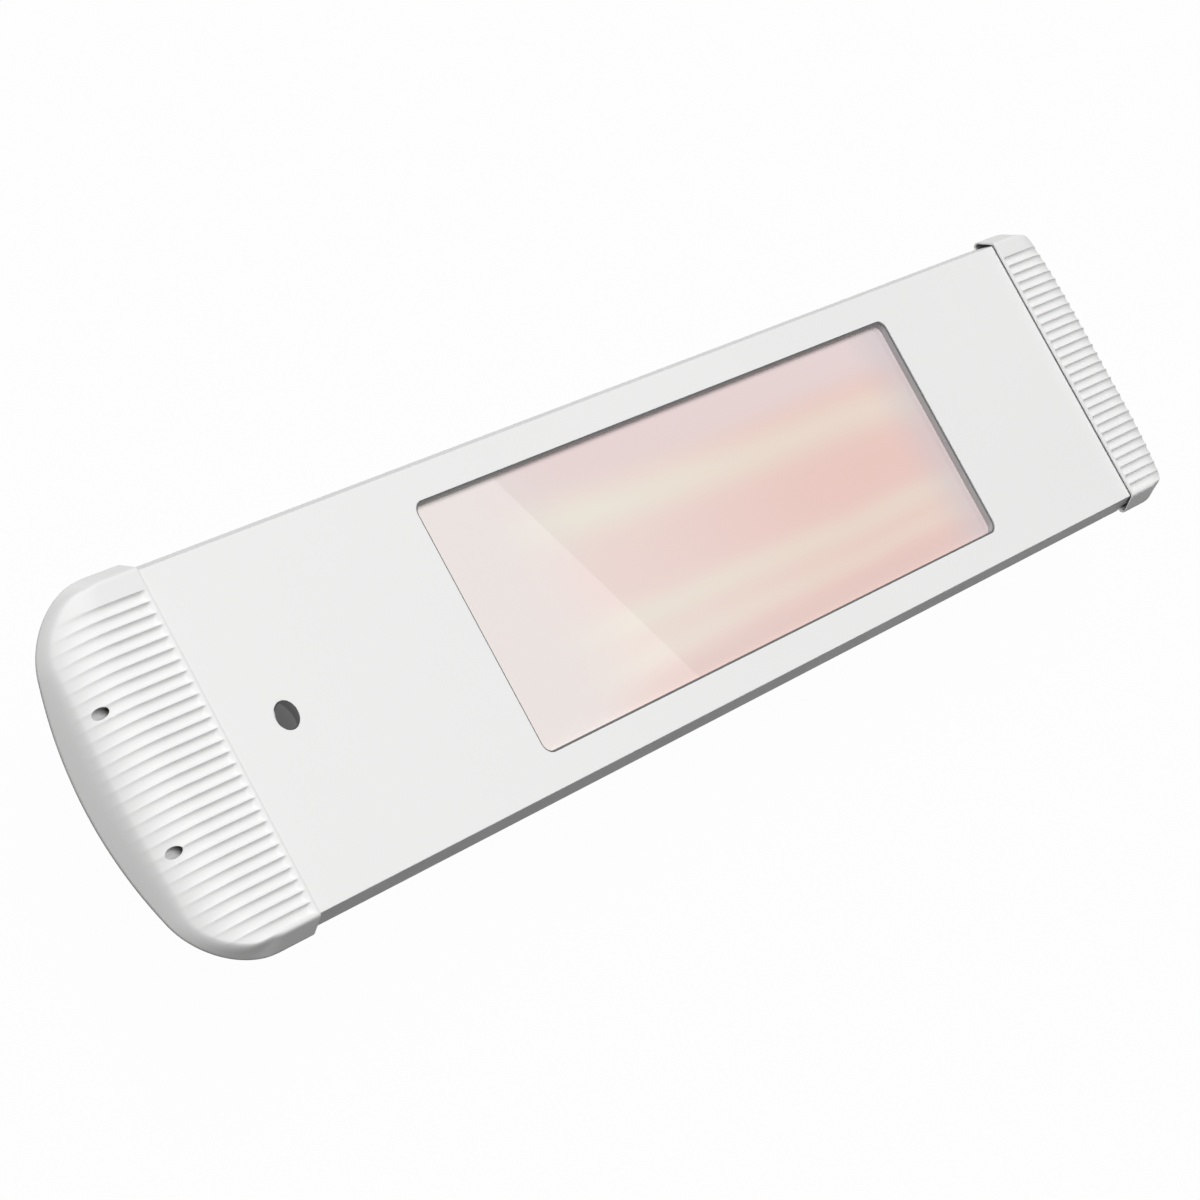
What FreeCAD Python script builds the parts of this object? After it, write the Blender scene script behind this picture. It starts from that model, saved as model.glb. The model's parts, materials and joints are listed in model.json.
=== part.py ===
import FreeCAD, Part
import math
import os
import re

import Sketcher

# Wall-hung infrared heater with a tilting bracket, modelled in millimetres.
# The heater lies with its radiating face up: X runs along it, Z points out of the wall, and the
# origin is the middle of the wall bracket's back face.
doc = FreeCAD.newDocument("infrared_heater")

# A size given as text is worked out from the sizes above it.
SIZES = {
    # fascia: the extruded front with its two flared flanks
    "face_width": 150,
    "face_length": 629,
    "face_wall": 3,
    "flank_flare": 3.5,
    "flank_drop": 11,
    "lip_reach": 7,
    "lip_wall": 1.5,
    "lip_notch": 3.5,
    # window and sensor openings in the fascia
    "window_length": 359,
    "window_width": 120,
    "window_shift": 17.7,
    "window_corner": 5.5,
    "sensor_offset": 280,
    "sensor_bore": 12.6,
    # end caps: length of the flat top, nose radius, leaning end wall, plan corners and ribs
    "cap_overlap": 6,
    "cap_step": 2.3,
    "cap_gap": 0.3,
    "cap_side_gap": 1.45,
    "cap_wall": 1.5,
    "cap_floor": 2,
    "cap_shoulder": 0.75,
    "cap_edge": 1.6,
    "cap_rim_drop": 9,
    "cap_depth": 22.8,
    "cap_flat": 18,
    "cap_nose": 48,
    "cap_reach": 57.2,
    "cap_end_lean": 5.2,
    "cap_end_rim": 1.6,
    "cap_corner": 33,
    "cap_end_arc": 450,
    "groove_count": 28,
    "groove_pitch": 5.1,
    "groove_width": 5,
    "groove_depth": 1.2,
    "groove_rise": 0.3,
    "groove_lean": 1.45,
    "groove_sweep": 60,
    "groove_margin": 3.2,
    # screws that hold the caps to the end plates
    "cap_screw_pitch": 59.2,
    "cap_screw_drop": 6.8,
    "cap_screw_bore": 5,
    "cap_screw_boss": 9,
    "cap_screw_seat": 3,
    "cap_screw_shank": 2.5,
    "cap_screw_head": 4.5,
    "cap_screw_head_height": 2.5,
    "cap_screw_grip": 11,
    "thread_gap": 0.05,
    "screw_tip_gap": 1,
    # sealed ends of the fascia
    "end_gasket_wall": 1,
    "end_gasket_band": 3,
    "end_plate_wall": 2,
    "end_plate_inset": 1,
    # rear tray
    "tray_wall": 1.5,
    "tray_edge": 10,
    "tray_gap": 0.3,
    "belly_depth": 20.2,
    # pane and its seals
    "glass_wall": 4,
    "glass_overlap": 4.6,
    "glass_corner": 4,
    "gasket_wall": 0.8,
    "gasket_setback": 0.3,
    # reflector box behind the window
    "box_depth": 58,
    "box_wall": 1.5,
    "box_width": 114,
    "box_overhang": 38.4,
    "box_length": "=window_length + 2 * glass_overlap + 2 * box_overhang",
    "box_corner": 10,
    "box_taper": 20,
    "box_flange": 11.8,
    "box_end_flange": 6,
    "cover_gap": 0.5,
    "box_gap": 1,
    "box_boss": 4,
    "box_screw_shank": 2.5,
    "box_screw_head": 4,
    "box_screw_head_height": 2,
    "box_screw_inset": 2.2,
    "box_screw_count": 4,
    "box_screw_margin": 23.5,
    "box_screw_step": "=(window_length - 2 * box_screw_margin) / (box_screw_count - 1)",
    # reflector trough
    "reflector_wall": 0.8,
    "reflector_overlap": 10,
    "reflector_length": "=window_length + 2 * reflector_overlap",
    "reflector_mouth": 98,
    "reflector_floor": 52,
    "reflector_drop": 35,
    "reflector_rim_drop": 12,
    "reflector_end_wall": 1.2,
    # lamps
    "lamp_pitch": 40,
    "lamp_drop": 30,
    "lamp_diameter": 11,
    "lamp_wall": 1,
    "lamp_base_diameter": 15,
    "lamp_base_length": 18,
    "lamp_base_socket": 6,
    "lamp_gap": 0.1,
    "filament_diameter": 2.4,
    "filament_support_count": 9,
    "filament_support_wall": 1,
    "lamp_holder_wall": 7,
    "lamp_holder_width": 68,
    "lamp_holder_rise": 10,
    # shield and insulation under the reflector
    "insulation_wall": 6,
    "insulation_width": 62,
    "insulation_end_gap": 9.5,
    "insulation_length": "=reflector_length - 2 * insulation_end_gap",
    "shield_wall": 0.6,
    # sensor and electronics behind the near end of the fascia
    "lens_gap": 0.15,
    "lens_recess": 0.1,
    "lens_crown": 0.4,
    "lens_flange": 17,
    "lens_flange_wall": 1.5,
    "sensor_holder_wall": 2,
    "board_length": 84,
    "board_width": 86,
    "board_wall": 1.6,
    "board_drop": 9,
    "board_shift": 15,
    "standoff_diameter": 6,
    "standoff_inset": 6,
    "board_screw_shank": 2.5,
    "board_screw_head": 5,
    "board_screw_head_height": 1.8,
    "receiver_side": 6,
    "receiver_height": 3,
    "relay_length": 20,
    "relay_width": 15,
    "relay_height": 5,
    "capacitor_diameter": 5,
    "capacitor_length": 14,
    "heat_sink_length": 24,
    "heat_sink_width": 16,
    "heat_sink_base": 1.5,
    "heat_sink_fin_height": 3,
    "heat_sink_fin_count": 5,
    "heat_sink_fin_wall": 1,
    # supply side at the far end
    "terminal_offset": 258,
    "terminal_length": 16,
    "terminal_width": 44,
    "terminal_height": 9,
    "terminal_bore": 3,
    "terminal_count": 3,
    "earth_offset": 296,
    "earth_side": 34,
    "earth_diameter": 4,
    "earth_length": 10,
    "earth_nut_flats": 7,
    "earth_nut_height": 3,
    "gland_offset": 284,
    "gland_thread": 12,
    "gland_bore": 7,
    "gland_flats": 18,
    "gland_hex_height": 5,
    "gland_barrel_height": 7,
    "gland_nut_flats": 16,
    "gland_nut_height": 3,
    "gland_dome_height": 9,
    "gland_dome_diameter": 17,
    "gland_seal_height": 5,
    "gland_seal_wall": 1,
    "gland_gap": 0.2,
    # tilting bracket; its half rounds are drawn a hair over half their width
    "half_round": 1.0001,
    "pivot_height": 34,
    "hanger_drop": 12,
    "hanger_length": 116,
    "hanger_width": 56,
    "hanger_wall": 2.5,
    "hanger_ear_width": 24,
    "hanger_ear_reach": 26,
    "hanger_screw_pitch_x": 84,
    "hanger_screw_pitch_y": 40,
    "hanger_screw_shank": 4,
    "hanger_screw_head": 7.5,
    "hanger_screw_head_height": 2.4,
    "ear_gap": 1.2,
    "wall_plate_wall": 3,
    "wall_plate_width": 66,
    "wall_ear_width": 50,
    "wall_ear_top": 10.5,
    "wall_bolt_pitch_x": 80,
    "wall_bolt_pitch_y": 44,
    "wall_bolt_bore": 6.5,
    "pivot_diameter": 8,
    "pivot_running_gap": 0.08,
    "pivot_fixed_gap": 0.2,
    "pivot_head_flats": 13,
    "pivot_head_height": 5.3,
    "pivot_nut_height": 6.5,
    "pivot_nut_gap": 0.4,
    "pivot_tip": 1,
    "washer_wall": 1.4,
    "washer_diameter": 16,
    "friction_washer_wall": 0.8,
    "lock_diameter": 6,
    "lock_radius": 18,
    "lock_slot_gap": 0.4,
    "lock_swing": 41.5,
    "lock_head_flats": 10,
    "lock_head_height": 4,
    "lock_nut_height": 5,
    "lock_washer_diameter": 14,
    "lock_washer_gap": 0.4,
}

FACE = "(pivot_height + hanger_drop + box_depth)"
PANEL_END = "(face_length / 2)"
BODY_END = "(face_length / 2 + cap_overlap)"
FLANK_HALF = "(face_width / 2 + flank_flare)"
CAP_HALF = "(face_width / 2 + flank_flare + cap_side_gap + cap_wall)"
END_PLATE_FACE = f"({BODY_END} + end_gasket_wall + end_plate_wall)"
GLASS_LENGTH = "(window_length + 2 * glass_overlap)"
GLASS_WIDTH = "(window_width + 2 * glass_overlap)"
GLASS_BACK = "(face_wall + gasket_wall + glass_wall)"
FLANGE_FRONT = f"({GLASS_BACK} + gasket_wall)"
FLANGE_LENGTH = "(box_length + 2 * box_end_flange)"
FLANGE_WIDTH = "(box_width + 2 * box_flange)"
BOX_INNER_FLOOR = "(box_depth - box_wall)"
PIVOT = "pivot_height"

FACES = {"XY": "XY_Plane", "XZ": "XZ_Plane", "YZ": "YZ_Plane"}
TURNS = {
    "XY": FreeCAD.Rotation(),
    "XZ": FreeCAD.Rotation(FreeCAD.Vector(1, 0, 0), 90),
    "YZ": FreeCAD.Rotation(FreeCAD.Vector(1, 1, 1), 120),
}
WORD = re.compile(r"[A-Za-z_]\w*")
nodes = []


def write_sheet():
    """The driving dimensions, one aliased cell each."""
    table = doc.addObject("Spreadsheet::Sheet", "Sizes")
    for row, (name, size) in enumerate(SIZES.items(), start=1):
        table.set(f"A{row}", name)
        table.set(f"B{row}", str(size))
        table.setAlias(f"B{row}", name)
    doc.recompute()
    return table


sheet = write_sheet()


def scoped(formula):
    """A formula with each size's name pointed at its cell."""
    return WORD.sub(lambda word: f"Sizes.{word[0]}" if word[0] in SIZES else word[0], formula)


def number(formula):
    return float(sheet.evalExpression(scoped(formula)))


def bind(item, **formulas):
    """Ties properties to formulas; a double underscore in a name stands for a dot."""
    for name, formula in formulas.items():
        item.setExpression(name.replace("__", "."), scoped(formula))


def place(item, x="0", y="0", z="0"):
    bind(item, Placement__Base__x=x, Placement__Base__y=y, Placement__Base__z=z)


def below(depth):
    """The height of a level that lies so far behind the radiating face."""
    return f"{FACE} - ({depth})"


def node(item, label):
    """Marks an item as one piece of the heater."""
    item.Label = label
    nodes.append(item)
    return item


def middle(start, end, radius, side):
    """The middle of the minor arc between two points, its centre left (1) or right (-1) of the way."""
    chord = end - start
    half = chord.Length / 2
    sag = radius - math.sqrt(max(radius * radius - half * half, 0))
    outward = FreeCAD.Vector(chord.y, -chord.x, 0).normalize()
    return (start + end) / 2 + outward * (sag * side)


def draw(sketch, corners):
    """A closed outline. Each corner is (x, y), with (radius, side) added where an arc leaves it."""
    points = [FreeCAD.Vector(number(corner[0]), number(corner[1]), 0) for corner in corners]
    starts = []
    for index, corner in enumerate(corners):
        start, end = points[index], points[(index + 1) % len(points)]
        if len(corner) == 2:
            edge = sketch.addGeometry(Part.LineSegment(start, end), False)
        else:
            bow = middle(start, end, number(corner[2]), corner[3])
            edge = sketch.addGeometry(Part.Arc(start, bow, end), False)
            tie(sketch, corner[2], "Radius", edge)
        first_gap, last_gap = (sketch.getPoint(edge, tip).distanceToPoint(start) for tip in (1, 2))
        starts.append((edge, 1, 2) if first_gap < last_gap else (edge, 2, 1))
    for index, (edge, first, last) in enumerate(starts):
        follower, follower_first, _ = starts[(index + 1) % len(starts)]
        sketch.addConstraint(Sketcher.Constraint("Coincident", edge, last, follower, follower_first))
        tie(sketch, corners[index][0], "DistanceX", -1, 1, edge, first)
        tie(sketch, corners[index][1], "DistanceY", -1, 1, edge, first)


def tie(sketch, formula, kind, *places):
    """One dimension of a sketch, driven by a formula."""
    index = sketch.addConstraint(Sketcher.Constraint(kind, *places, number(formula)))
    sketch.setExpression(f"Constraints[{index}]", scoped(formula))


def circle(sketch, x, y, radius):
    centre = FreeCAD.Vector(number(x), number(y), 0)
    edge = sketch.addGeometry(Part.Circle(centre, FreeCAD.Vector(0, 0, 1), number(radius)), False)
    tie(sketch, radius, "Radius", edge)
    tie(sketch, x, "DistanceX", -1, 1, edge, 3)
    tie(sketch, y, "DistanceY", -1, 1, edge, 3)


def rounded(x, y, length, width, radius):
    """A rectangle about a point, with round corners."""
    left, right = f"{x} - ({length}) / 2", f"{x} + ({length}) / 2"
    low, high = f"{y} - ({width}) / 2", f"{y} + ({width}) / 2"
    return [
        (f"{left} + {radius}", low), (f"{right} - {radius}", low, radius, 1),
        (right, f"{low} + {radius}"), (right, f"{high} - {radius}", radius, 1),
        (f"{right} - {radius}", high), (f"{left} + {radius}", high, radius, 1),
        (left, f"{high} - {radius}"), (left, f"{low} + {radius}", radius, 1),
    ]


def box_corners(low_x, high_x, low_y, high_y):
    return [(low_x, low_y), (high_x, low_y), (high_x, high_y), (low_x, high_y)]


def make_body(label):
    """A part-design body that is one piece of the heater."""
    return node(doc.addObject("PartDesign::Body", label), label)


def body_sketch(body, face, level="0"):
    """An empty sketch on one of the body's own planes, moved along its normal."""
    sketch = body.newObject("Sketcher::SketchObject", f"{body.Name}_sketch")
    plane = next(item for item in body.Origin.OriginFeatures if item.Role == FACES[face])
    sketch.AttachmentSupport = [(plane, "")]
    sketch.MapMode = "FlatFace"
    bind(sketch, AttachmentOffset__Base__z=level)
    return sketch


def pad(body, sketch, length, symmetric=False, reverse=False):
    feature = body.newObject("PartDesign::Pad", f"{body.Name}_pad")
    feature.Profile = sketch
    feature.SideType = "Symmetric" if symmetric else "One side"
    feature.Reversed = reverse
    bind(feature, Length=length)
    doc.recompute()
    return feature


def pocket(body, sketch, length, symmetric=False, reverse=False):
    """A cut that has to take material away."""
    before = body.Shape.Volume
    feature = body.newObject("PartDesign::Pocket", f"{body.Name}_pocket")
    feature.Profile = sketch
    feature.SideType = "Symmetric" if symmetric else "One side"
    feature.Reversed = reverse
    bind(feature, Length=length)
    doc.recompute()
    if not body.Shape.Volume < before:
        raise ValueError(f"{body.Label}: a pocket cut nothing")
    return feature


def free_sketch(name, face, level="0"):
    sketch = doc.addObject("Sketcher::SketchObject", name)
    sketch.Placement = FreeCAD.Placement(FreeCAD.Vector(), TURNS[face])
    axis = {"XY": "z", "XZ": "y", "YZ": "x"}[face]
    sketch.setExpression(f"Placement.Base.{axis}", scoped(level))
    return sketch


def prism(name, face, corners, level, length):
    """An outline drawn at a level and carried along the positive normal axis."""
    sketch = free_sketch(f"{name}_outline", face, level)
    draw(sketch, corners)
    return extrude(name, sketch, face, length)


def extrude(name, sketch, face, length):
    solid = doc.addObject("Part::Extrusion", name)
    solid.Base = sketch
    solid.DirMode = "Custom"
    solid.Dir = {"XY": (0, 0, 1), "XZ": (0, 1, 0), "YZ": (1, 0, 0)}[face]
    solid.Solid = True
    bind(solid, LengthFwd=length)
    return solid


def block(name, low, size):
    """A plain box from its low corner and its three sides."""
    solid = doc.addObject("Part::Box", name)
    bind(solid, Length=size[0], Width=size[1], Height=size[2])
    place(solid, *low)
    return solid


def rod(name, axis, start, diameter, length):
    """A round bar that runs from a point along X, Y or Z."""
    solid = doc.addObject("Part::Cylinder", name)
    turn = {"X": ((0, 1, 0), 90), "Y": ((1, 0, 0), -90), "Z": ((0, 0, 1), 0)}[axis]
    solid.Placement = FreeCAD.Placement(FreeCAD.Vector(), FreeCAD.Rotation(FreeCAD.Vector(*turn[0]), turn[1]))
    bind(solid, Radius=f"({diameter}) / 2", Height=length)
    place(solid, *start)
    return solid


def hexagon(name, axis, start, flats, length):
    """A hexagonal bar, such as a nut or a bolt head, that runs from a point along X or Z."""
    solid = doc.addObject("Part::Prism", name)
    turn = {"X": ((0, 1, 0), 90), "Z": ((0, 0, 1), 0)}[axis]
    solid.Placement = FreeCAD.Placement(FreeCAD.Vector(), FreeCAD.Rotation(FreeCAD.Vector(*turn[0]), turn[1]))
    solid.Polygon = 6
    bind(solid, Circumradius=f"({flats}) / sqrt(3)", Height=length)
    place(solid, *start)
    return solid


def cut(name, base, *tools):
    solid = doc.addObject("Part::Cut", name)
    solid.Base = base
    solid.Tool = tools[0] if len(tools) == 1 else fuse(f"{name}_tools", *tools)
    return solid


def fuse(name, *parts):
    solid = doc.addObject("Part::MultiFuse", name)
    solid.Shapes = list(parts)
    return solid


def common(name, *parts):
    solid = doc.addObject("Part::MultiCommon", name)
    solid.Shapes = list(parts)
    return solid


def group(name, parts):
    """Separate solids that share one piece's name, such as identical screws."""
    bundle = doc.addObject("Part::Compound", name)
    bundle.Links = list(parts)
    return bundle


def mirrored(name, source):
    """The same piece at the other end of the heater."""
    twin = doc.addObject("Part::Mirroring", name)
    twin.Source = source
    twin.Base = FreeCAD.Vector(0, 0, 0)
    twin.Normal = FreeCAD.Vector(1, 0, 0)
    return twin


def front_profile():
    """The fascia: a C section with flared flanks, inward lips, the window and the sensor hole."""
    body = make_body("front_profile")
    inner_top = below("face_wall")
    lip_top = below("flank_drop - lip_wall")
    flank_foot = below("flank_drop")
    inner_half = f"({FLANK_HALF} - face_wall)"
    shoulder = "(face_width / 2 - face_wall)"
    lip_edge = f"({FLANK_HALF} - lip_reach)"
    section = body_sketch(body, "YZ")
    draw(section, [
        ("face_width / 2", FACE), ("-face_width / 2", FACE), (f"-{FLANK_HALF}", flank_foot),
        (f"-{lip_edge}", flank_foot), (f"-{lip_edge}", lip_top), (f"-{inner_half}", lip_top),
        (f"-{shoulder}", inner_top), (shoulder, inner_top), (inner_half, lip_top),
        (lip_edge, lip_top), (lip_edge, flank_foot), (FLANK_HALF, flank_foot),
    ])
    pad(body, section, f"2 * {BODY_END}", symmetric=True)
    window = body_sketch(body, "XY", FACE)
    draw(window, rounded("window_shift", "0", "window_length", "window_width", "window_corner"))
    pocket(body, window, "face_wall")
    sensor = body_sketch(body, "XY", FACE)
    circle(sensor, "-sensor_offset", "0", "sensor_bore / 2")
    pocket(body, sensor, "face_wall")
    for end in ("-", ""):
        notch = body_sketch(body, "XY", flank_foot)
        draw(notch, box_corners(*sorted((f"{end}{BODY_END}", f"{end}({PANEL_END} - cap_gap)"), key=number),
                                f"-{FLANK_HALF}", FLANK_HALF))
        pocket(body, notch, "lip_notch", reverse=True)
    bosses = body_sketch(body, "XY", inner_top)
    for x, y in box_screw_places():
        circle(bosses, x, y, "box_boss / 2")
    pad(body, bosses, f"{FLANGE_FRONT} - face_wall", reverse=True)
    bores = body_sketch(body, "XY", below(FLANGE_FRONT))
    for x, y in box_screw_places():
        circle(bores, x, y, "box_screw_shank / 2 + thread_gap")
    pocket(body, bores, f"{FLANGE_FRONT} - face_wall", reverse=True)


def box_screw_places():
    """Four screws along each long side of the pane, just outside the glass."""
    side = f"({GLASS_WIDTH} / 2 + box_screw_inset)"
    steps = [f"({index} - (box_screw_count - 1) / 2)" for index in range(int(number("box_screw_count")))]
    along = [f"window_shift + {step} * box_screw_step" for step in steps]
    return [(x, f"{sign}{side}") for sign in ("-", "") for x in along]


def rear_tray():
    """The shallow curved back, its flat edges lying on the fascia's lips, open for the reflector box."""
    body = make_body("rear_tray")
    lean = "(flank_flare * tray_wall / (flank_drop - lip_wall - face_wall))"
    edge = f"({FLANK_HALF} - face_wall - {lean} - tray_gap)"
    turn = f"({FLANK_HALF} - lip_reach - tray_gap)"
    outer_edge = "(flank_drop - lip_wall)"
    inner_edge = f"({outer_edge} - tray_wall)"
    sag = f"(belly_depth - {outer_edge})"
    outer = f"(({turn} ^ 2 + {sag} ^ 2) / (2 * {sag}))"
    section = body_sketch(body, "YZ")
    draw(section, [
        (edge, below(inner_edge)), (turn, below(inner_edge), outer, -1),
        (f"-{turn}", below(inner_edge)), (f"-{edge}", below(inner_edge)),
        (f"-{edge}", below(outer_edge)), (f"-{turn}", below(outer_edge), outer, 1),
        (turn, below(outer_edge)), (edge, below(outer_edge)),
    ])
    pad(body, section, f"2 * {BODY_END}", symmetric=True)
    opening = body_sketch(body, "XY", below(inner_edge))
    draw(opening, rounded("window_shift", "0", f"{FLANGE_LENGTH} + 2 * box_gap",
                          f"{FLANGE_WIDTH} + 2 * box_gap", "glass_corner"))
    pocket(body, opening, "belly_depth")
    inlet = body_sketch(body, "XY", below(inner_edge))
    circle(inlet, "gland_offset", "0", "gland_thread / 2 + gland_gap")
    pocket(body, inlet, "belly_depth")


def soft_shoulder(half, shoulder, rim, top):
    """The two ends of the arc that rounds the corner between a hood's leaning side and its top."""
    lean, rise = f"({half} - {shoulder})", f"({top} - {rim})"
    slant = f"sqrt({lean} ^ 2 + {rise} ^ 2)"
    ease = f"(cap_edge * ({slant} - {lean}) / {rise})"
    low = (f"({shoulder} + {ease} * {lean} / {slant})", f"({top} - {ease} * {rise} / {slant})")
    return low, f"({shoulder} - {ease})"


def cap_form(name, start, skin, side_skin, floor_skin, soft=False):
    """A hood's form: its cross section, nose profile and plan outline, each carried through the others."""
    half = f"({CAP_HALF} - {side_skin})"
    top = f"({FACE} + cap_step - {skin})"
    shoulder = f"(face_width / 2 + cap_shoulder - ({skin}) * cap_shoulder / cap_step)"
    rim = below("cap_rim_drop")
    sag = f"(cap_depth - {floor_skin} - cap_rim_drop)"
    reach = f"({PANEL_END} + cap_reach - {skin})"
    nose = f"(cap_nose - {skin})"
    length = f"{reach} - {start} + cap_step"
    corners = [(shoulder, top), (f"-{shoulder}", top)]
    if soft:
        (low_y, low_z), high_y = soft_shoulder(half, shoulder, rim, top)
        corners = [(low_y, low_z, "cap_edge", 1), (high_y, top),
                   (f"-{high_y}", top, "cap_edge", 1), (f"-{low_y}", low_z)]
    belly = f"({half} ^ 2 + {sag} ^ 2) / (2 * {sag})"
    outline = [(half, rim), *corners, (f"-{half}", rim, belly, 1)]
    section = prism(f"{name}_section", "YZ", outline, start, length)
    flat = f"({PANEL_END} + cap_flat)"
    low = below("2 * cap_depth")
    wall_top = f"({reach} - cap_end_lean)"
    profile = prism(f"{name}_profile", "XZ", [
        (start, low), (reach, low), (reach, below(f"cap_depth - {floor_skin} - cap_end_rim")),
        (wall_top, f"{top} - {nose} + sqrt({nose} ^ 2 - ({wall_top} - {flat}) ^ 2)", nose, 1),
        (flat, top), (start, top),
    ], f"-{CAP_HALF}", f"2 * {CAP_HALF}")
    corner = f"(cap_corner - {side_skin})"
    arc = f"(cap_end_arc - {skin})"
    corner_y = f"({half} - {corner})"
    span = f"sqrt(({arc} - {corner}) ^ 2 - {corner_y} ^ 2)"
    corner_x = f"({reach} - {arc} + {span})"
    join_x = f"({reach} - {arc} + {arc} * {span} / ({arc} - {corner}))"
    join_y = f"({arc} * {corner_y} / ({arc} - {corner}))"
    plan = prism(f"{name}_plan", "XY", [
        (start, f"-{half}"), (corner_x, f"-{half}", corner, 1), (join_x, f"-{join_y}", arc, 1),
        (join_x, join_y, corner, 1), (corner_x, half), (start, half),
    ], low, "4 * cap_depth")
    return common(name, section, profile, plan)


def cap_grooves():
    """Flutes along the hood: one round-bottomed cut that follows the nose and runs out, repeated across."""
    sag = "(groove_depth + groove_rise)"
    chord = f"({FACE} + cap_step + groove_rise)"
    start = f"({PANEL_END} + groove_margin)"
    turn = f"({PANEL_END} + cap_flat + groove_lean)"
    section = free_sketch("flute_section", "YZ", turn)
    draw(section, [
        ("-groove_width / 2", chord, f"(groove_width ^ 2 / 4 + {sag} ^ 2) / (2 * {sag})", 1),
        ("groove_width / 2", chord),
    ])
    straight = extrude("flute_straight", section, "YZ", f"{turn} - {start}")
    straight.Reversed = True
    bend = doc.addObject("Part::Revolution", "flute_bend")
    bend.Source = section
    bend.Axis = (0, 1, 0)
    bend.Solid = True
    bind(bend, Base__x=turn, Base__z=f"{chord} - {sag} - cap_nose", Angle="groove_sweep")
    flute = fuse("flute", straight, bend)
    flutes = []
    for index in range(int(number("groove_count"))):
        twin = doc.addObject("App::Link", f"flute_{index}")
        twin.LinkedObject = flute
        place(twin, y=f"({index} - (groove_count - 1) / 2) * groove_pitch")
        flutes.append(twin)
    return group("flutes", flutes)


def end_caps():
    """The ribbed hoods, with the bosses and counterbored holes of their screws."""
    outer = cap_form("hood_outside", PANEL_END, "0", "0", "0", soft=True)
    inner = cap_form("hood_inside", f"({PANEL_END} - cap_gap)", "(cap_step - cap_gap)",
                     "cap_wall", "cap_floor")
    shell = cut("hood_shell", outer, inner)
    places = [(f"{sign}cap_screw_pitch / 2", below("cap_screw_drop")) for sign in ("-", "")]
    seat = f"({END_PLATE_FACE} + cap_screw_seat)"
    posts, bores = [], []
    for index, (y, z) in enumerate(places):
        posts.append(rod(f"boss_{index}", "X", (END_PLATE_FACE, y, z), "cap_screw_boss", "cap_reach"))
        bores.append(rod(f"counterbore_{index}", "X", (seat, y, z), "cap_screw_bore", "cap_reach"))
        bores.append(rod(f"clearance_{index}", "X", (PANEL_END, y, z),
                         "cap_screw_shank + 4 * thread_gap", f"{seat} - {PANEL_END}"))
    bosses = common("hood_bosses", outer, fuse("boss_rods", *posts))
    hood = fuse("hood", shell, bosses)
    right = node(cut("end_cap_right", cut("hood_ribbed", hood, cap_grooves()), *bores), "end_cap_right")
    node(mirrored("end_cap_left", right), "end_cap_left")
    screws = [cap_screw(f"cap_screw_{index}", y, z, seat) for index, (y, z) in enumerate(places)]
    screws += [mirrored(f"cap_screw_{index + 2}", screw) for index, screw in enumerate(screws)]
    node(group("end_cap_screws", screws), "end_cap_screws")


def cap_screw(name, y, z, seat):
    head = rod(f"{name}_head", "X", (seat, y, z), "cap_screw_head", "cap_screw_head_height")
    tip = f"{seat} - cap_screw_grip"
    shank = rod(f"{name}_shank", "X", (tip, y, z), "cap_screw_shank", "cap_screw_grip")
    return fuse(name, head, shank)


def end_outline(top, half, turn, foot):
    """A closed end shape inside the hood's socket: a flat top, short sides and a curved belly."""
    sag = f"(belly_depth - {foot} - {top})"
    return [
        (half, below(foot)), (half, below(top)), (f"-{half}", below(top)), (f"-{half}", below(foot)),
        (f"-{turn}", below(foot), f"({turn} ^ 2 + {sag} ^ 2) / (2 * {sag})", 1), (turn, below(foot)),
    ]


def end_seals():
    """A gasket ring and a plate close each end; the cap screws thread into the plate."""
    inset, band = "end_plate_inset", "(end_plate_inset + end_gasket_band)"
    foot = f"(flank_drop - lip_notch - {inset})"
    turn = f"({FLANK_HALF} - lip_reach - {inset})"
    outline = end_outline(inset, f"(face_width / 2 - {inset})", turn, foot)
    hole = end_outline(band, f"({turn} - end_gasket_band)", f"({turn} - 2 * end_gasket_band)", foot)
    ring = cut("end_gasket_right", prism("gasket_sheet", "YZ", outline, BODY_END, "end_gasket_wall"),
               prism("gasket_hole", "YZ", hole, BODY_END, "end_gasket_wall"))
    sheet_metal = prism("end_plate_sheet", "YZ", outline, f"{BODY_END} + end_gasket_wall", "end_plate_wall")
    sides = [f"{sign}cap_screw_pitch / 2" for sign in ("-", "")]
    threads = [rod(f"plate_thread_{index}", "X", (BODY_END, y, below("cap_screw_drop")),
                   "cap_screw_shank + 2 * thread_gap", "cap_reach") for index, y in enumerate(sides)]
    plate = cut("end_plate_right", sheet_metal, *threads)
    for label, piece in (("end_gasket", ring), ("end_plate", plate)):
        node(piece, f"{label}_right")
        node(mirrored(f"{label}_left", piece), f"{label}_left")


def pane_ring(label, front, inner_gap):
    """A flat seal under the edge of the pane."""
    body = make_body(label)
    sketch = body_sketch(body, "XY", below(front))
    draw(sketch, rounded("window_shift", "0", GLASS_LENGTH, GLASS_WIDTH, "glass_corner"))
    draw(sketch, rounded("window_shift", "0", f"window_length + 2 * {inner_gap}",
                         f"window_width + 2 * {inner_gap}", "window_corner"))
    pad(body, sketch, "gasket_wall", reverse=True)


def window():
    """The heat-proof pane between its front and rear seals."""
    pane_ring("window_gasket", "face_wall", "gasket_setback")
    pane = make_body("window_glass")
    sketch = body_sketch(pane, "XY", below("face_wall + gasket_wall"))
    draw(sketch, rounded("window_shift", "0", GLASS_LENGTH, GLASS_WIDTH, "glass_corner"))
    pad(pane, sketch, "glass_wall", reverse=True)
    pane_ring("rear_gasket", GLASS_BACK, "gasket_setback")


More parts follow.
